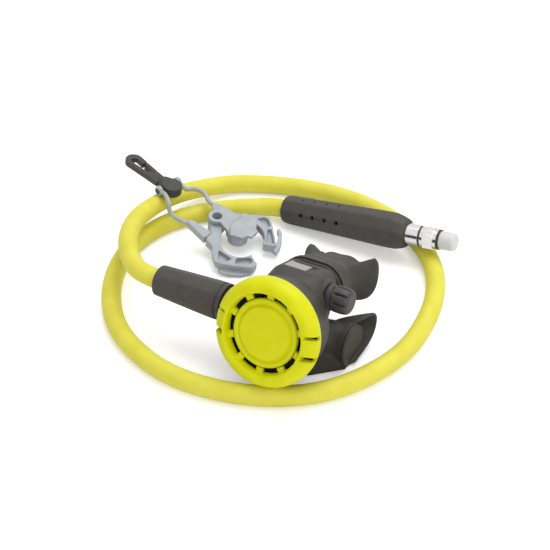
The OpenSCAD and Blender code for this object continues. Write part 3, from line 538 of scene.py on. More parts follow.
black_plastic = dark_plastic("black_plastic", (0.036, 0.033, 0.026), (0.048, 0.044, 0.036), 0.46)
knob_plastic = dark_plastic("knob_plastic", (0.044, 0.038, 0.040), (0.058, 0.051, 0.055), 0.42)
hook_plastic = dark_plastic("hook_plastic", (0.042, 0.039, 0.033), (0.058, 0.054, 0.047), 0.46)
RUBBER_GRAIN = 0.6
black_rubber = dark_plastic("black_rubber", (0.036, 0.034, 0.029), (0.050, 0.047, 0.041), 0.55, RUBBER_GRAIN)
sleeve_rubber = dark_plastic("sleeve_rubber", (0.052, 0.047, 0.041), (0.068, 0.062, 0.055), 0.5, RUBBER_GRAIN)

holder_grey = Finish("holder_grey", roughness=0.4, Specular_IOR_Level=0.4)
cloud = holder_grey.noise(8, 3)
grain = holder_grey.noise(0.5, 3)
holder_grey.colour(holder_grey.mix(cloud.step(0.3, 0.7), rgb(0.33, 0.355, 0.385), rgb(0.40, 0.425, 0.455)))
holder_grey.set("Roughness", 0.36 + 0.12 * grain).bump(grain, 0.02, edge_mm=0.4)

chrome_fitting = Finish("chrome_fitting", roughness=0.14, Metallic=1.0)
smear = chrome_fitting.noise(4, 3, stretch=(0.3, 2, 2))
chrome_fitting.colour(chrome_fitting.mix(smear.step(0.3, 0.7), rgb(0.66, 0.65, 0.63), rgb(0.78, 0.77, 0.76)))
chrome_fitting.set("Roughness", 0.1 + 0.14 * smear).bump(smear, 0.004, edge_mm=0.2)

steel = Finish("steel", roughness=0.3, Metallic=1.0)
lines = steel.noise(0.6, 2, stretch=(0.1, 3, 3))
steel.colour(steel.mix(lines, rgb(0.45, 0.45, 0.45), rgb(0.62, 0.62, 0.62)))
steel.set("Roughness", 0.25 + 0.2 * lines)

brass_valve = Finish("brass_valve", roughness=0.25, Metallic=1.0)
cloud = brass_valve.noise(3, 3)
brass_valve.colour(brass_valve.mix(cloud, rgb(0.60, 0.56, 0.44), rgb(0.70, 0.66, 0.55)))
brass_valve.set("Roughness", 0.2 + 0.15 * cloud)

clear_cap = Finish("clear_cap", roughness=0.35, Transmission_Weight=0.35, IOR=1.45)
cloud = clear_cap.noise(2, 3)
clear_cap.colour(clear_cap.mix(cloud, rgb(0.78, 0.77, 0.77), rgb(0.90, 0.90, 0.90)))
clear_cap.set("Roughness", 0.3 + 0.15 * cloud)

label_grey = Finish("label", roughness=0.45)
grain = label_grey.noise(0.5, 3)
label_grey.colour(label_grey.mix(grain, rgb(0.26, 0.26, 0.255), rgb(0.36, 0.36, 0.355)))
label_grey.set("Roughness", 0.4 + 0.1 * grain).bump(grain, 0.01)
print(len(bpy.data.materials), "materials")

# %% [markdown]
# ## Who wears what
# Every solid takes the finish that its slot in the record names, and new pieces use the same table. A new
# piece rides on the body of the solid that it stands for.

# %% Dressing
finishes = {
    "yellow_cover": yellow_cover, "hose_yellow": hose_yellow, "black_plastic": black_plastic,
    "black_rubber": black_rubber, "sleeve_rubber": sleeve_rubber, "knob_plastic": knob_plastic,
    "holder_grey": holder_grey, "hook_plastic": hook_plastic, "chrome_fitting": chrome_fitting,
    "steel": steel, "brass_valve": brass_valve, "clear_cap": clear_cap, "label": label_grey,
}
slot_of = {part["node"]: part["material_slot"] for part in frame["record"]["subparts"]}
bodies = frame["record"]["behaviour"]["bodies"]
body_of = {node: body for body, members in bodies.items() for node in members}


def wear(piece, slot):
    piece.data.materials.clear()
    piece.data.materials.append(finishes[slot].material)


for name, solid in nodes.items():
    wear(solid, slot_of[name])


def dressed_as(piece, node):
    """The piece takes its solid's finish, and the solid is hidden."""
    wear(piece, slot_of[node])
    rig.slot(piece, slot_of[node])
    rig.replaces(piece, node)
    print(piece.name, "with", len(piece.data.polygons), "faces stands for", node)


def stands_for(piece, node):
    """The piece takes its solid's finish and body, and the solid is hidden."""
    dressed_as(piece, node)
    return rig.ride(piece, body_of[node])


stands_for(hose, "hose")


def baked(piece):
    """The piece with its modifiers worked into its mesh."""
    bpy.context.view_layer.update()
    mesh = bpy.data.meshes.new_from_object(piece.evaluated_get(bpy.context.evaluated_depsgraph_get()))
    piece.modifiers.clear()
    piece.data = mesh
    return piece


def relaxed(piece, voxel_mm, passes):
    """The piece filled with small voxels, whose skin is then relaxed a few times, so that every edge gets the
    small round that a mould leaves, and shapes that overlap become one."""
    fill = piece.modifiers.new("fill", "REMESH")
    fill.mode, fill.voxel_size, fill.use_smooth_shade = "VOXEL", voxel_mm * MM, True
    relax = piece.modifiers.new("relax", "SMOOTH")
    relax.factor, relax.iterations = 0.5, passes
    baked(piece).data.shade_smooth()
    return piece


def moulded(node, voxel_mm, passes):
    """A soft-edged copy of a solid, with its doubles merged first."""
    work = bmesh.new()
    work.from_mesh(nodes[node].data)
    bmesh.ops.remove_doubles(work, verts=work.verts, dist=1e-6)
    mesh = bpy.data.meshes.new(node + "_skin")
    work.to_mesh(mesh)
    work.free()
    return stands_for(relaxed(placed(mesh.name, mesh), voxel_mm, passes), node)


# %% [markdown]
# ## Cutting and joining
# A groove or a drilled hole is easiest as a second shape that is taken away. The exact Boolean modifier does
# that. A solid through a row of closed outlines serves as such a shape, and as a piece of its own.


# %% Cutting and joining
def cut_away(piece, cutter, smooth_angle):
    """The cutter's shape is taken from the piece, which is then shaded afresh."""
    cut = piece.modifiers.new("cut", "BOOLEAN")
    cut.operation, cut.object, cut.solver = "DIFFERENCE", cutter, "EXACT"
    shaded(baked(piece), smooth_angle)
    bpy.data.objects.remove(cutter)


def loft(name, place, sections):
    """A closed solid through closed outlines of shape (sections, points, 3), in straight millimetres; the two
    ends are filled flat."""
    sections = np.asarray(sections, float)
    rows, columns = sections.shape[:2]
    first_end, last_end = list(range(columns)), list(range((rows - 1) * columns, rows * columns))
    faces = [*grid_quads(rows, columns).tolist(), first_end, last_end]
    return finished(name, place(sections.reshape(-1, 3)), faces)


def together(name, pieces):
    """Several meshes as one."""
    work = bmesh.new()
    for piece in pieces:
        work.from_mesh(piece.data)
    mesh = bpy.data.meshes.new(name)
    work.to_mesh(mesh)
    work.free()
    for piece in pieces:
        bpy.data.objects.remove(piece)
    return placed(name, mesh)


# %% [markdown]
# ## The cover
# The cover is one moulding: a flat ring with ten breathing slots round the button, and a crown that rises
# steeply from it, turns over its nose and falls in a wide curve to the rim. It is one grid: a profile turned
# round the axis. Where a column of the grid lies in a slot, the profile starts further out; between the slots
# it is lifted to a low bridge; at either side it is flattened to a clip tab between two cut grooves.

# %% Cover ring
BUTTON_R, HOLE_R, SLOT_R, COVER_R, NOSE_R = 20.7, 21.0, 23.9, 33.0, 25.9
SLOTS, SLOT_HALF, SLOT_WALL, BRIDGE_LIFT = 10, 12.4, 0.12, 0.9
TAB_HALF, TAB_FRONT, TAB_SLOPE = 6.5, -3.3, 0.62
GROOVE_LOWS, GROOVE_WIDE = (5.2, -7.8), 2.6
SHARP_COVER = 38
up, over = np.radians(np.linspace(10, 90, 9)), np.radians(np.linspace(86, 2, 18))
ring_outline = np.vstack([
    [[2, 22.5], [2, 21.15], [1.85, HOLE_R], [0.3, HOLE_R], [0.05, HOLE_R + 0.2]],
    [[0, radius] for radius in (21.5, 21.8, 22.2, 22.8, 23.3, 23.6)],
    [[-0.2, 23.85], [-0.6, 24], [-1.1, 24.1]],
    np.stack([-1 - 3.7 * np.sin(up), NOSE_R - 1.75 * np.cos(up)], -1),
    np.stack([3 - 7.7 * np.sin(over), NOSE_R + 7.1 * np.cos(over)], -1),
    [[3.3, COVER_R], [5.7, COVER_R], [6, COVER_R - 0.3], [6, 31.4], [5.8, 31.2], [3.5, 31.2]],
    [[2, 26.3], [2, 22.5]],
])
apart = 360 / SLOTS
in_slot = np.linspace(-SLOT_HALF, SLOT_HALF, 17)
on_bridge = np.linspace(SLOT_HALF + SLOT_WALL, apart - SLOT_HALF - SLOT_WALL, 10)
columns = np.concatenate([apart * i + np.concatenate([in_slot, on_bridge]) for i in range(SLOTS)])
is_slot = np.tile([True] * len(in_slot) + [False] * len(on_bridge), SLOTS)


def ramp(x, low, high):
    """0 below low, 1 above high, and a smooth S between them: 3 t squared less 2 t cubed."""
    t = np.clip((x - low) / (high - low), 0, 1)
    return t * t * (3 - 2 * t)


y, r = [np.repeat(ring_outline[:, k : k + 1], len(columns), 1) for k in (0, 1)]
r = np.where(is_slot, np.maximum(r, SLOT_R), r)
# Between two slots the flat ring rises to a bridge that is highest halfway.
off_bridge = np.abs(columns % apart - apart / 2) / (apart / 2 - SLOT_HALF)
bump = np.where(is_slot, 0, 1 - np.minimum(off_bridge, 1) ** 4)
y = y - BRIDGE_LIFT * bump * ramp(r, 21.1, 21.7) * (1 - ramp(r, 24, 25.6)) * (y < 0.1)
turn = np.radians(columns)
# At either side the crown's outer slope is cut back to the tab's plane.
on_tab = (np.abs(r * np.sin(turn)) < TAB_HALF) & (r > NOSE_R) & (y < 3.2)
y = np.where(on_tab, np.maximum(y, TAB_FRONT + TAB_SLOPE * (r - NOSE_R)), y)
cover_grid = STAGE(np.stack([r * np.cos(turn), y, r * np.sin(turn)], -1))
cover = grid_mesh("cover", cover_grid, SHARP_COVER)


def groove(side, low):
    """A straight cutter across the crown's outer slope, from a height upwards."""
    high = low + GROOVE_WIDE
    corners = [(low, -8), (high, -8), (high, 4.3), (low, 4.3)]
    return loft("groove", STAGE, [[(side * x, y, z) for z, y in corners] for x in (25.6, 36)])


for side in (1, -1):
    for low in GROOVE_LOWS:
        cut_away(cover, groove(side, low), SHARP_COVER)
stands_for(cover, "cover_ring")

# %% [markdown]
# ## The purge button
# The button is a plain disc. A soft groove 17 mm from its middle parts the middle from the rim, which lies
# a little deeper, falls away and turns round at its edge. A short stem points at the diaphragm.

# %% Purge button
GROOVE_R = 17
r = np.concatenate([np.linspace(0, 15, 6), np.linspace(15.4, 18.6, 17), np.linspace(19, 20, 5)])
step_back = 0.6 * ramp(r, 15.6, 18.2)
dent = 1.3 * np.exp(-(((r - GROOVE_R) / 0.8) ** 2))
fall = 0.05 * np.maximum(r - 18, 0) ** 2
face = np.stack([-1.5 + step_back + dent + fall, r], -1)
edge = [[-0.36, 20.35], [-0.1, 20.6], [0.4, BUTTON_R], [2.1, BUTTON_R], [3.3, 20.2]]
stem = [[3.3, 6], [7.7, 6], [7.7, 0]]
button_outline = np.vstack([face, edge, stem])
button = revolved("purge_disc", STAGE, button_outline, sides=192, along="y", smooth_angle=50)
stands_for(button, "purge_button")

# %% [markdown]
# ## The diaphragm
# The diaphragm is a thin rubber sheet with a deep fold. The case holds its rim, and its middle moves with the
# button. The fold's inner wall bends between the two, so it is a piece of its own.

# %% Diaphragm
FRONT, BACK, FOLD_FLOOR, FOLD_BACK = 8, 9, 11.3, 12.2
low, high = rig.box("diaphragm")
SEAL_R = (high[0] - low[0]) / 2 / MM
rim_outline = [
    [FRONT, SEAL_R], [BACK, SEAL_R], [BACK, 21.2], [FOLD_BACK, 20.6], [FOLD_BACK, 19], [FOLD_FLOOR, 19],
    [FOLD_FLOOR, 19.8], [FRONT, 20.4], [FRONT, SEAL_R],
]
middle_outline = [
    [BACK, 0], [BACK, 16.8], [FOLD_BACK, 17.4], [FOLD_BACK, 19], [FOLD_FLOOR, 19], [FOLD_FLOOR, 18.2],
    [FRONT, 17.8], [FRONT, 0],
]
stands_for(revolved("diaphragm_rim", STAGE, rim_outline, along="y"), "diaphragm")
middle = revolved("diaphragm_middle", STAGE, middle_outline, along="y")
dressed_as(middle, "diaphragm")
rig.blend(middle, "second_stage", "purge", start=STAGE([0, FOLD_FLOOR, 0]), end=STAGE([0, BACK + 0.2, 0]))

# %% [markdown]
# ## Sleeves
# Both sleeves are eight-sided rubber with soft edges. Sleeve A is a long cone over the hose's end at the
# second stage, with a narrow groove by its mouth. Sleeve B swells towards the fitting, and has rows of small
# holes through which the yellow hose shows.

# %% Eight soft sides
def soft_polygon(sides, soft, count):
    """How far out the edge of a regular polygon of unit inner radius lies, all the way round, with its
    corners softened: the largest of the sides' distances, blended by a power mean."""
    turn = np.linspace(0, 2 * np.pi, count, endpoint=False)
    normals = np.arange(sides) * 2 * np.pi / sides
    facing = np.maximum(np.cos(turn[:, None] - normals[None]), 0)
    return turn, 1 / (facing**soft).sum(1) ** (1 / soft)


turn, reach = soft_polygon(8, 26, 128)
flats = reach / reach.mean() - 1


def sleeve_rings(x, radius, share, bore_x, bore_r):
    """How far along and how far out the points of a sleeve lie. The skin shows a share of the flats at each
    ring; the bore comes after it, on the way back, and the first ring closes the wall."""
    skin = radius[:, None] * (1 + share[:, None] * flats)
    rings = np.vstack([skin, np.outer(bore_r, np.ones_like(turn)), skin[:1]])
    return np.outer(np.concatenate([x, bore_x, x[:1]]), np.ones_like(turn)), rings


print("the flats lie between", np.round([flats.min(), flats.max()], 3), "of the radius")

# %% Sleeve A
INLET_X, INLET_Y, FLATS_TURNED = -39.5, 25, np.radians(10)
skin_a = rounded_outline(
    [[-48, 8.2], [-47.8, 9.6], [-9.6, 11.5], [-3.6, 11.7], [-3.4, 11], [-2.3, 11], [-2.1, 11.75], [0, 11.6]],
    [0, 1.6, 6, 0.3, 0.2, 0.2, 0.3, 0], steps=3,
)
x_a = np.unique(np.concatenate([skin_a[:, 0], np.linspace(-47, -4, 44)]))
skin_r = np.interp(x_a, skin_a[:, 0], skin_a[:, 1])
share = np.interp(x_a, [-48, -44, -30, -10, -4, 0], [0, 0.2, 0.75, 0.75, 0.4, 0.2])
steps_x, steps_r = [0, -12, -12, -30, -30, -48], [9.75, 9.75, 7.2, 7.2, 6.45, 6.45]
x, r = sleeve_rings(x_a, skin_r, share, steps_x, steps_r)
tilt = turn + FLATS_TURNED
grid = STAGE(np.stack([x + INLET_X, INLET_Y + r * np.sin(tilt), r * np.cos(tilt)], -1))
stands_for(grid_mesh("sleeve_a", grid, smooth_angle=50), "hose_sleeve_a")

# %% Sleeve B
HOLES, HOLES_APART, HOLE_DEEP, OUTSIDE = 4, 9.2, 7, 13
along_b = [0, 0.25, 0.9, 2.2, 4, 20, 40, 60, 74, 80, 85, 88, 90.5, 92.4, 93]
radius_b = [7.4, 8.4, 9.1, 9.45, 9.6, 10.05, 10.65, 11.3, 11.75, 11.8, 11.55, 10.9, 10.1, 9.2, 8.3]
octagon = [0, 0.1, 0.4, 0.8, 1, 1, 1, 1, 1, 1, 1, 0.9, 0.7, 0.3, 0]
x_b = np.linspace(0, 93, 160)
r_b, share = np.interp(x_b, along_b, radius_b), np.interp(x_b, along_b, octagon)
bore = np.where(x_b > INSIDE_SLEEVE_B, 7.2, 6.45)[::-1]
x, r = sleeve_rings(x_b, r_b, share, x_b[::-1], bore)
grid = FAR_END(np.stack([x, r * np.sin(turn), -r * np.cos(turn)], -1))
sleeve_b = grid_mesh("sleeve_b", grid, smooth_angle=50)


def drill(along, out, radius):
    """A plain rod from outside the sleeve towards its axis, to be taken away."""
    line = [along, 0, 0] + np.array([[OUTSIDE], [OUTSIDE - HOLE_DEEP]]) * out
    return loft("drill", FAR_END, tube_grid(line, [radius, radius], 20, up=(1, 0.01, 0.02)))


rods = []
for first, size, degrees in ((14.5, 0.8, 180), (17, 1.45, 252), (17, 1.45, 108)):
    out = np.array([0, np.sin(np.radians(degrees)), -np.cos(np.radians(degrees))])
    rods += [drill(first + HOLES_APART * i, out, size) for i in range(HOLES)]
cut_away(sleeve_b, together("rods", rods), 50)
stands_for(sleeve_b, "hose_sleeve_b")

# %% [markdown]
# ## The cap on the thread
# The thread at the hose's far end wears a soft milky cap with a rounded end.

# %% Thread cap
cap_outline = rounded_outline(
    [[116.5, 4.8], [116.5, 6.1], [127.1, 6.1], [127.1, 0], [125.8, 0], [125.8, 4.8], [116.5, 4.8]],
    [0, 0.3, 2.4, 0, 0, 0.6, 0],
)
stands_for(revolved("cap", FAR_END, cap_outline, sides=64, smooth_angle=50), "thread_cap")

# %% [markdown]
# ## The exhaust tee
# The tee carries the bubbles to both sides. Each wing is a duct that narrows a little, then ends in a round
# flat face, and behind the face a lip flares out and leaves the outlet open. The duct's section is worked
# out by direction: from the middle, how far away is the edge. It blends from the root's outline to a circle.
# The lip is a bent sheet from the duct out to its own rim. A foot below the duct stands on the floor, and a
# collar joins the case. Duct, foot, faces, collar and lips are then fused.


# %% Exhaust tee
FACE_R, LIP_START_R, LIP_THICK, ABOVE_FLOOR = 13.2, 10.2, 1.9, 0.3


def edge_reach(corners, centre, turn, soft=16):
    """How far the edge of a convex outline lies from a centre in each direction, with softened corners: the
    nearest of its sides' distances, blended by a power mean."""
    c = np.array(corners, float) - centre
    step = np.roll(c, -1, 0) - c
    normal = np.stack([step[:, 1], -step[:, 0]], -1) / np.linalg.norm(step, axis=1)[:, None]
    far = (normal * c).sum(1)
    facing = (np.cos(turn)[:, None] * normal[:, 0] + np.sin(turn)[:, None] * normal[:, 1]) / far
    return 1 / (np.maximum(facing, 0) ** soft).sum(1) ** (1 / soft)


def floor_under(y):
    """The second stage's own height just above the floor, at a distance back from its front."""
    lean = np.radians(STAGE_LEAN)
    return (y * np.sin(lean) - STAGE_UP) / np.cos(lean) + ABOVE_FLOOR


turn = np.linspace(0, 2 * np.pi, 96, endpoint=False)
root_at, face_at = np.array([47.5, -17.5]), np.array([59.5, -14.7])
root = edge_reach([[38.4, -33.5], [57, -28.5], [57, -5], [52, -1.4], [38.4, -1.4]], root_at, turn)
lip_corners = [
    [50, 1.6], [63, 4.6], [77, 3.6], [83, 0.4], [85.3, -6], [83.2, -13.5], [76.6, -19.2], [66, -24],
    [57, -28], [48, -29],
]


def row_at(x, middle, reach):
    """One section across the tee: the edge at a reach from its middle, in every direction."""
    return np.stack([0 * turn + x, middle[0] + reach * np.cos(turn), middle[1] + reach * np.sin(turn)], -1)


def duct_row(x):
    """The duct's section, from the root's outline in the middle to the face's circle at the ends."""
    w = ramp(abs(x), 3, 27)
    waist = 1 - 0.07 * np.exp(-(((abs(x) - 23) / 6) ** 2))
    return row_at(x, root_at * (1 - w) + face_at * w, (root * (1 - w) + FACE_R * w) * waist)


def foot_row(x):
    """The foot's section: it stands on the floor, and its front edge sweeps back towards the ends."""
    front, back = 38.4 + 0.97 * max(abs(x) - 14, 0), 58 + 0.1 * abs(x)
    corners = [[front, floor_under(front)], [back, floor_under(back)], [back, -20], [front, -20]]
    middle = np.mean(corners, axis=0)
    return row_at(x, middle, edge_reach(corners, middle, turn, soft=24))


def lip(side):
    """A thin sheet. Seen along the wing, it runs from the top of the face round its back to the bottom; its
    inner edge is on the duct and its rim follows the lip's own outline."""
    u, v = np.linspace(0, 1, 46), np.linspace(0, 1, 9)
    angle = np.radians(np.linspace(97, -103, 46))
    out = edge_reach(lip_corners, face_at, angle, soft=22)
    rise = ramp(u, 0, 0.1) * (1 - ramp(u, 0.9, 1))
    reach = LIP_START_R + (FACE_R - LIP_START_R + (out - FACE_R) * rise)[:, None] * v**0.75
    x = 15 + (12.2 + 6.4 * rise)[:, None] * v**1.15
    inner = np.maximum(reach - LIP_THICK, 8)
    loop_r, loop_x = np.hstack([reach, inner[:, ::-1]]), np.hstack([x, x[:, ::-1] + 0.5])
    y, z = face_at[0] + loop_r * np.cos(angle)[:, None], face_at[1] + loop_r * np.sin(angle)[:, None]
    return loft("lip", STAGE, np.stack([side * loop_x, y, z], -1))


def face_disc(side):
    """The round flat face at a wing's end, with its edge turned in."""
    steps = ((26.5, 9), (28.9, 12.6), (29.4, FACE_R), (30.5, FACE_R), (31, 12.7))
    return loft("face", STAGE, [row_at(side * x, face_at, 0 * turn + radius) for x, radius in steps])


duct = loft("duct", STAGE, [duct_row(x) for x in np.linspace(-28, 28, 54)])
foot = loft("foot", STAGE, [foot_row(x) for x in np.linspace(-30.5, 30.5, 62)])
faces = [face_disc(side) for side in (1, -1)]
collar_outline = [[33.2, 0], [33.2, 16.6], [34, 17.1], [46.5, 17.1], [46.5, 0]]
collar = revolved("collar", STAGE, collar_outline, along="y", start=(0, 0, -13))
tee = relaxed(together("tee_skin", [duct, foot, *faces, collar, lip(1), lip(-1)]), 0.5, 5)
stands_for(tee, "exhaust_tee")

# %% [markdown]
# ## The knob
# The knob has a smooth collar, a narrow neck and a ribbed grip with a rounded end. Its radius along the axis
# is a profile, and the ribs take a little off it: a narrow dip, eight times round.

# %% Knob
RIBS, RIB_DEPTH, GRIP_X, KNOB_Y, KNOB_Z = 8, 1.6, 24, 38, 19.2
knob_corners = [[18.9, 0], [18.9, 7.6], [21.9, 7.75], [22.3, 6.7], [23.1, 6.7], [23.6, 7.9], [29.4, 8.15],
                [33.9, 7.2], [33.9, 0]]
knob_profile = rounded_outline(knob_corners, [0, 0.5, 0.3, 0.3, 0.3, 0.5, 4, 3.2, 0])
# The grip gets more rings along it, so that the ribs start softly.
grip = knob_profile[knob_profile[:, 0] > GRIP_X]
grip_x = GRIP_X + np.arange(20) / 3
more = np.stack([grip_x, np.interp(grip_x, grip[:, 0], grip[:, 1])], -1)
knob_profile = np.insert(knob_profile, np.searchsorted(knob_profile[:, 0], grip_x), more, axis=0)
x, r = knob_profile[:, :1], knob_profile[:, 1:]
turn = np.linspace(0, 2 * np.pi, 240, endpoint=False)
dip = np.exp(-(((turn / (2 * np.pi) * RIBS + 0.35) % 1 - 0.5) / 0.1) ** 2)
depth = RIB_DEPTH * ramp(x, 23.6, 24.6) * (1 - ramp(x, 31.6, 33.4))
reach = r - depth * dip
grid = STAGE(np.stack([x + 0 * turn, KNOB_Y + reach * np.cos(turn), KNOB_Z + reach * np.sin(turn)], -1))
stands_for(grid_mesh("knob", grid, smooth_angle=50), "venturi_knob")

# %% [markdown]
# ## The mouthpiece
# The mouthpiece is one soft rubber moulding: a sleeve over the case's mouth, a waist, and a wide flare that
# ends in the lip shield, with two lobes above and a rounded edge. Each section is worked out by direction, as
# the tee's are: an oval for the sleeve, and the shield's own outline at the back. The flare runs between
# them, and two tabs to bite on stand behind it.


# %% Mouthpiece
turn = np.linspace(0, 2 * np.pi, 160, endpoint=False)


def oval_reach(radius, half):
    """How far the edge of an oval lies in each direction: two circles' distance, side by side."""
    c, s = np.cos(turn), np.sin(turn)
    flat = radius / np.maximum(np.abs(s), 1e-9)
    bow = half * np.abs(c) + np.sqrt(np.maximum(radius**2 - (half * s) ** 2, 0))
    return np.where(flat * np.abs(c) < half, flat, bow)


half_outline = np.array([
    [0, 28.6], [5, 28.8], [8.5, 28.2], [12.5, 26.2], [15.5, 26.9], [18.3, 29.6], [20.8, 30.5], [23, 29.2],
    [24.6, 25.5], [25, 19], [24.4, 13], [22.6, 7.8], [19.6, 4.2], [15, 2.2], [8, 1.7], [0, 1.5],
]) - [0, 15.7]
roll = np.radians(-4)
around = np.vstack([half_outline, [[-x, z] for x, z in half_outline[-2:0:-1]]])
line = smooth_line(np.vstack([around, around[:1]]), 6)
line = line @ np.array([[np.cos(roll), -np.sin(roll)], [np.sin(roll), np.cos(roll)]])
angle = np.unwrap(np.arctan2(line[:, 1], line[:, 0]))
order = np.argsort(angle)
shield = np.interp(turn, angle[order], np.linalg.norm(line, axis=1)[order], period=2 * np.pi)

SLEEVE_AT, SHIELD_AT = np.array([0, 17.0]), np.array([1.6, 15.2])
SLEEVE_R, SLEEVE_Y, WAIST_Y, SHIELD_Y = 14.2, 63, 75.5, 90.8
sleeve, waist, hole = oval_reach(SLEEVE_R, 6), oval_reach(11.2, 7), oval_reach(7, 6)
sleeve_rows = [(51, 12.4), (51, 13.6), (51.5, 14.2), (52.8, 14.2), (53, 13.7), (57, 13.7), (57.2, 14.2),
               (60, 14.2), (SLEEVE_Y, 14.1)]
# Each ring: how far back it lies, its reach, and its middle's way from the sleeve's to the shield's.
skin = [(y, sleeve * size / SLEEVE_R, 0) for y, size in sleeve_rows]
for y in np.linspace(65, 75, 9):
    w = ramp(y, SLEEVE_Y, WAIST_Y)
    skin.append((y, sleeve * (1 - w) + waist * w, 0))
for y in np.linspace(76, 87.2, 16):
    w = ((y - WAIST_Y) / 12) ** 1.7
    skin.append((y, waist * (1 - w) + shield * w, w))
for y, size in ((87.8, 0.985), (88.3, 1), (89.2, 1.005), (90, 1), (90.6, 0.98), (SHIELD_Y, 0.95)):
    skin.append((y, shield * size, 1))
for w in (0.85, 0.6, 0.35, 0.15, 0.03):
    skin.append((SHIELD_Y - 0.3 * (1 - w), shield * 0.93 * w + hole * (1 - w), w))
skin += [(89.5, hole * 0.97, 0), (70, hole, 0), (SLEEVE_Y, hole * 1.2, 0)]
skin += [(y, sleeve * size / SLEEVE_R, 0) for y, size in ((62, 12), (51, 12), (51, 12.4))]
rings = []
for y, reach, w in skin:
    across, height = SLEEVE_AT * (1 - w) + SHIELD_AT * w
    rings.append(np.stack([across + reach * np.cos(turn), 0 * turn + y, height + reach * np.sin(turn)], -1))
grid = np.array(rings)
# The shield bows back towards its sides, but no further back than 92 mm.
flared = ramp(grid[..., 1], 74, 88)
bend = 0.0045 * grid[..., 0] ** 2 * flared
grid[..., 1] = np.minimum(grid[..., 1] + bend - 1.2 * flared, 92)
mouthpiece = grid_mesh("mouthpiece_skin", STAGE(grid), smooth_angle=60)


def bite_tab(side):
    """A soft block: a square whose corners are rounded by the fourth power, with a thicker end to bite on."""
    a = np.linspace(0, 2 * np.pi, 40, endpoint=False)
    square = (np.abs(np.cos(a)) ** 4 + np.abs(np.sin(a)) ** 4) ** -0.25
    rows = []
    for y, size in ((88.5, 0.9), (91, 0.8), (94, 0.7), (98, 0.74), (99.5, 1), (100.2, 0.98), (100.7, 0.85)):
        wide, high = 4 * size * square * np.cos(a), 5 * size**0.4 * square * np.sin(a)
        rows.append(np.stack([18 * side + wide, 0 * a + y, 17 + high], -1))
    return loft("bite", STAGE, rows)


mouthpiece = together("mouthpiece_skin", [mouthpiece, bite_tab(1), bite_tab(-1)])
stands_for(shaded(mouthpiece, 60), "mouthpiece")

# %% [markdown]
# ## A ridge on the case
# A low ridge arches over the case in front of the mouthpiece, and the plain plate lies below it.

# %% Ridge
RIDGE_HALF, RIDGE_R = 12, 1.1
bow = np.linspace(-1, 1, 33)
ridge_line = np.stack([bow * RIDGE_HALF - 2, 43.6 + 1.4 * bow**2, 31.1 - 2.4 * bow**4], -1)
ridge_r = RIDGE_R * np.sqrt(np.maximum(1 - bow**8, 0.001))
ridge = grid_mesh("case_ridge", STAGE(tube_grid(ridge_line, ridge_r, 16)))
wear(ridge, slot_of["case"])
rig.slot(ridge, slot_of["case"])
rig.ride(ridge, body_of["case"])
print(ridge.name, "with", len(ridge.data.polygons), "faces lies on the case")

# %% [markdown]
# ## Arms
# The two arms are round wires of nylon that curve from the swivel base's pin down to the holder's two
# halves, each with an eye at its top. The left one is springy: its root turns with the jaw, and its eye stays
# on the base's pin.

# %% Arms
WIRE_R = 1.5
left_route = [
    [-97.2, 17.2, 30.4], [-94.5, 16.3, 30.4], [-90.5, 13.6, 29.3], [-88, 11.4, 26.8], [-87.7, 11, 23.8],
    [-86.8, 11, 20.5], [-84, 11.2, 18.2], [-80, 11.6, 16.8], [-76, 12, 15.9], [-71, 12.3, 14.8],
]
right_route = [
    [-92.8, 34.2, 29.4], [-90.5, 32.9, 28.3], [-88.3, 33.6, 26.5], [-86.8, 37.8, 24.8],
    [-84.8, 42.2, 22.6], [-81.5, 44, 20.6], [-77.8, 42.4, 19], [-74.5, 39.8, 17.8], [-70, 38.5, 16.9],
    [-66.3, 36.6, 17.6],
]


def eye(side):
    """A ring round the base's pin, with softened edges."""
    ring = rounded_outline(
        [[0, 2.6], [0, 3.2], [3, 3.2], [3, 1.9], [0, 1.9], [0, 2.6]], [0, 0.6, 0.6, 0.2, 0.2, 0]
    )
    ring[:, 0] = side * (6.8 + ring[:, 0])
    return revolved("eye", HOOK, ring, sides=48, along="y")


def arm(name, route, side, up):
    """A round wire along a route, thinner where it leaves its eye."""
    line = smooth_line(route, 6)
    radii = np.full(len(line), WIRE_R)
    radii[:2] = [1.0, 1.35]
    wire = loft("wire", TABLE, tube_grid(line, radii, 20, up))
    return shaded(together(name, [wire, eye(side)]), 50)


left = arm("arm_left", left_route, 1, (0, 1, 0))
right = arm("arm_right", right_route, -1, (0, 0, 1))
stands_for(right, "right_arm")
dressed_as(left, "left_arm")
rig.blend(left, "jaw", "holder", start=TABLE(left_route[-2]), end=TABLE(left_route[1]))

# %% [markdown]
# ## Moulded pieces
# The case, the holder's halves and the hook are all moulded, and a moulding has no sharp edge. Their solids
# have the right shape, so each gets a skin with rounded edges. The smaller a piece is, the finer its voxels.

# %% Moulded pieces
for node, voxel_mm, passes in (
    ("case", 0.7, 3), ("clamp_plate", 0.35, 3), ("left_jaw", 0.35, 3), ("mouth_plug", 0.3, 2),
    ("swivel_base", 0.3, 3), ("snap_hook", 0.3, 3), ("snap_gate", 0.3, 2),
):
    moulded(node, voxel_mm, passes)

# %% [markdown]
# ## Floor and light
# A pale floor, a large soft lamp overhead, a weaker one from the front and a white surround. The floor glows
# faintly for the camera alone, so it reads as white paper, yet sheds no light on the set.

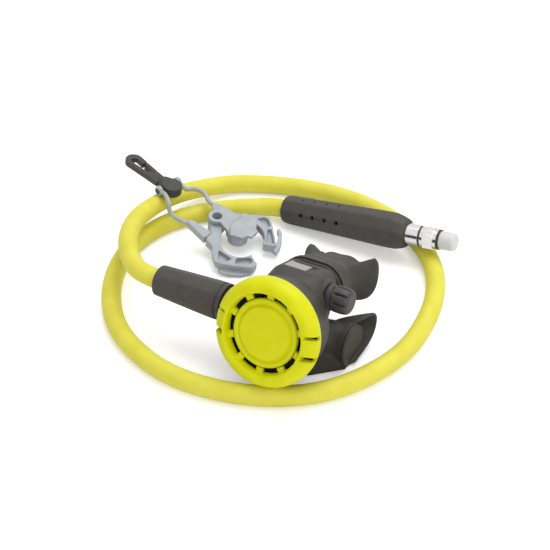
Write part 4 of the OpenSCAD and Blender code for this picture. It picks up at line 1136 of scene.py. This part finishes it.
# %% Floor and light
PAPER_GLOW, SURROUND_LIGHT = 0.28, 0.62
LAMPS_AIM = Vector((0, 0, 0.02))
floor = finished("floor", [[-3, -3, 0], [3, -3, 0], [3, 3, 0], [-3, 3, 0]], [[0, 1, 2, 3]])
paper = Finish("paper", roughness=0.9)
paper.colour(paper.mix(paper.noise(40, 2), rgb(0.93, 0.93, 0.93), rgb(0.95, 0.95, 0.95)))
seen = Value(paper.tree, paper.add("ShaderNodeLightPath").outputs["Is Camera Ray"])
paper.set("Emission Color", seen * PAPER_GLOW).set("Emission Strength", 1.0)
floor.data.materials.append(paper.material)
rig.stage(floor)


def lamp(name, where, size, watts):
    """A square area lamp that faces the set."""
    data = bpy.data.lights.new(name, "AREA")
    data.size, data.energy = size, watts
    item = placed(name, data)
    item.location = where
    item.rotation_mode = "QUATERNION"
    item.rotation_quaternion = (Vector(where) - LAMPS_AIM).to_track_quat("Z", "Y")
    print("lamp", name, "of", watts, "watts")


lamp("overhead", (0.1, 0.35, 1.1), 0.9, 8.5)
lamp("front", (0.9, -0.7, 0.7), 0.6, 4)
surround = bpy.data.worlds.new("surround")
bpy.context.scene.world = surround
surround.use_nodes = True
sky = surround.node_tree
light_path = sky.nodes.new("ShaderNodeLightPath").outputs
camera_ray, glossy_ray, transmitted_ray = [
    Value(sky, light_path[f"Is {kind} Ray"]) for kind in ("Camera", "Glossy", "Transmission")
]
# The surround shows as full white to the eye and in reflections, and lights the set with less.
seen = camera_ray.top(glossy_ray).top(transmitted_ray)
strength = seen * (1 - SURROUND_LIGHT) + SURROUND_LIGHT
background = sky.nodes["Background"].inputs
background["Color"].default_value = rgb(1, 1, 1)
sky.links.new(strength.socket, background["Strength"])
bpy.context.scene.view_settings.view_transform = "Standard"

# %% Declarations
on_hose = ["hose_sleeve_b", "ferrule_b", "ferrule_ring", "end_fitting", "fitting_ring", "thread_cap"]
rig.cord(
    hose, exit=TABLE(hose_line[0]), length=hose_length * MM, diameter=2 * HOSE_R * MM, far_end="fitting",
    stiffness="stiff", lay="loose", path=TABLE(hose_line), with_pieces=[nodes[n] for n in on_hose],
)
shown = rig.bounds()
with open("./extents.json", "w") as f:
    json.dump({"cad": [list(c) for c in cad_box], "visual": [list(c) for c in shown]}, f)
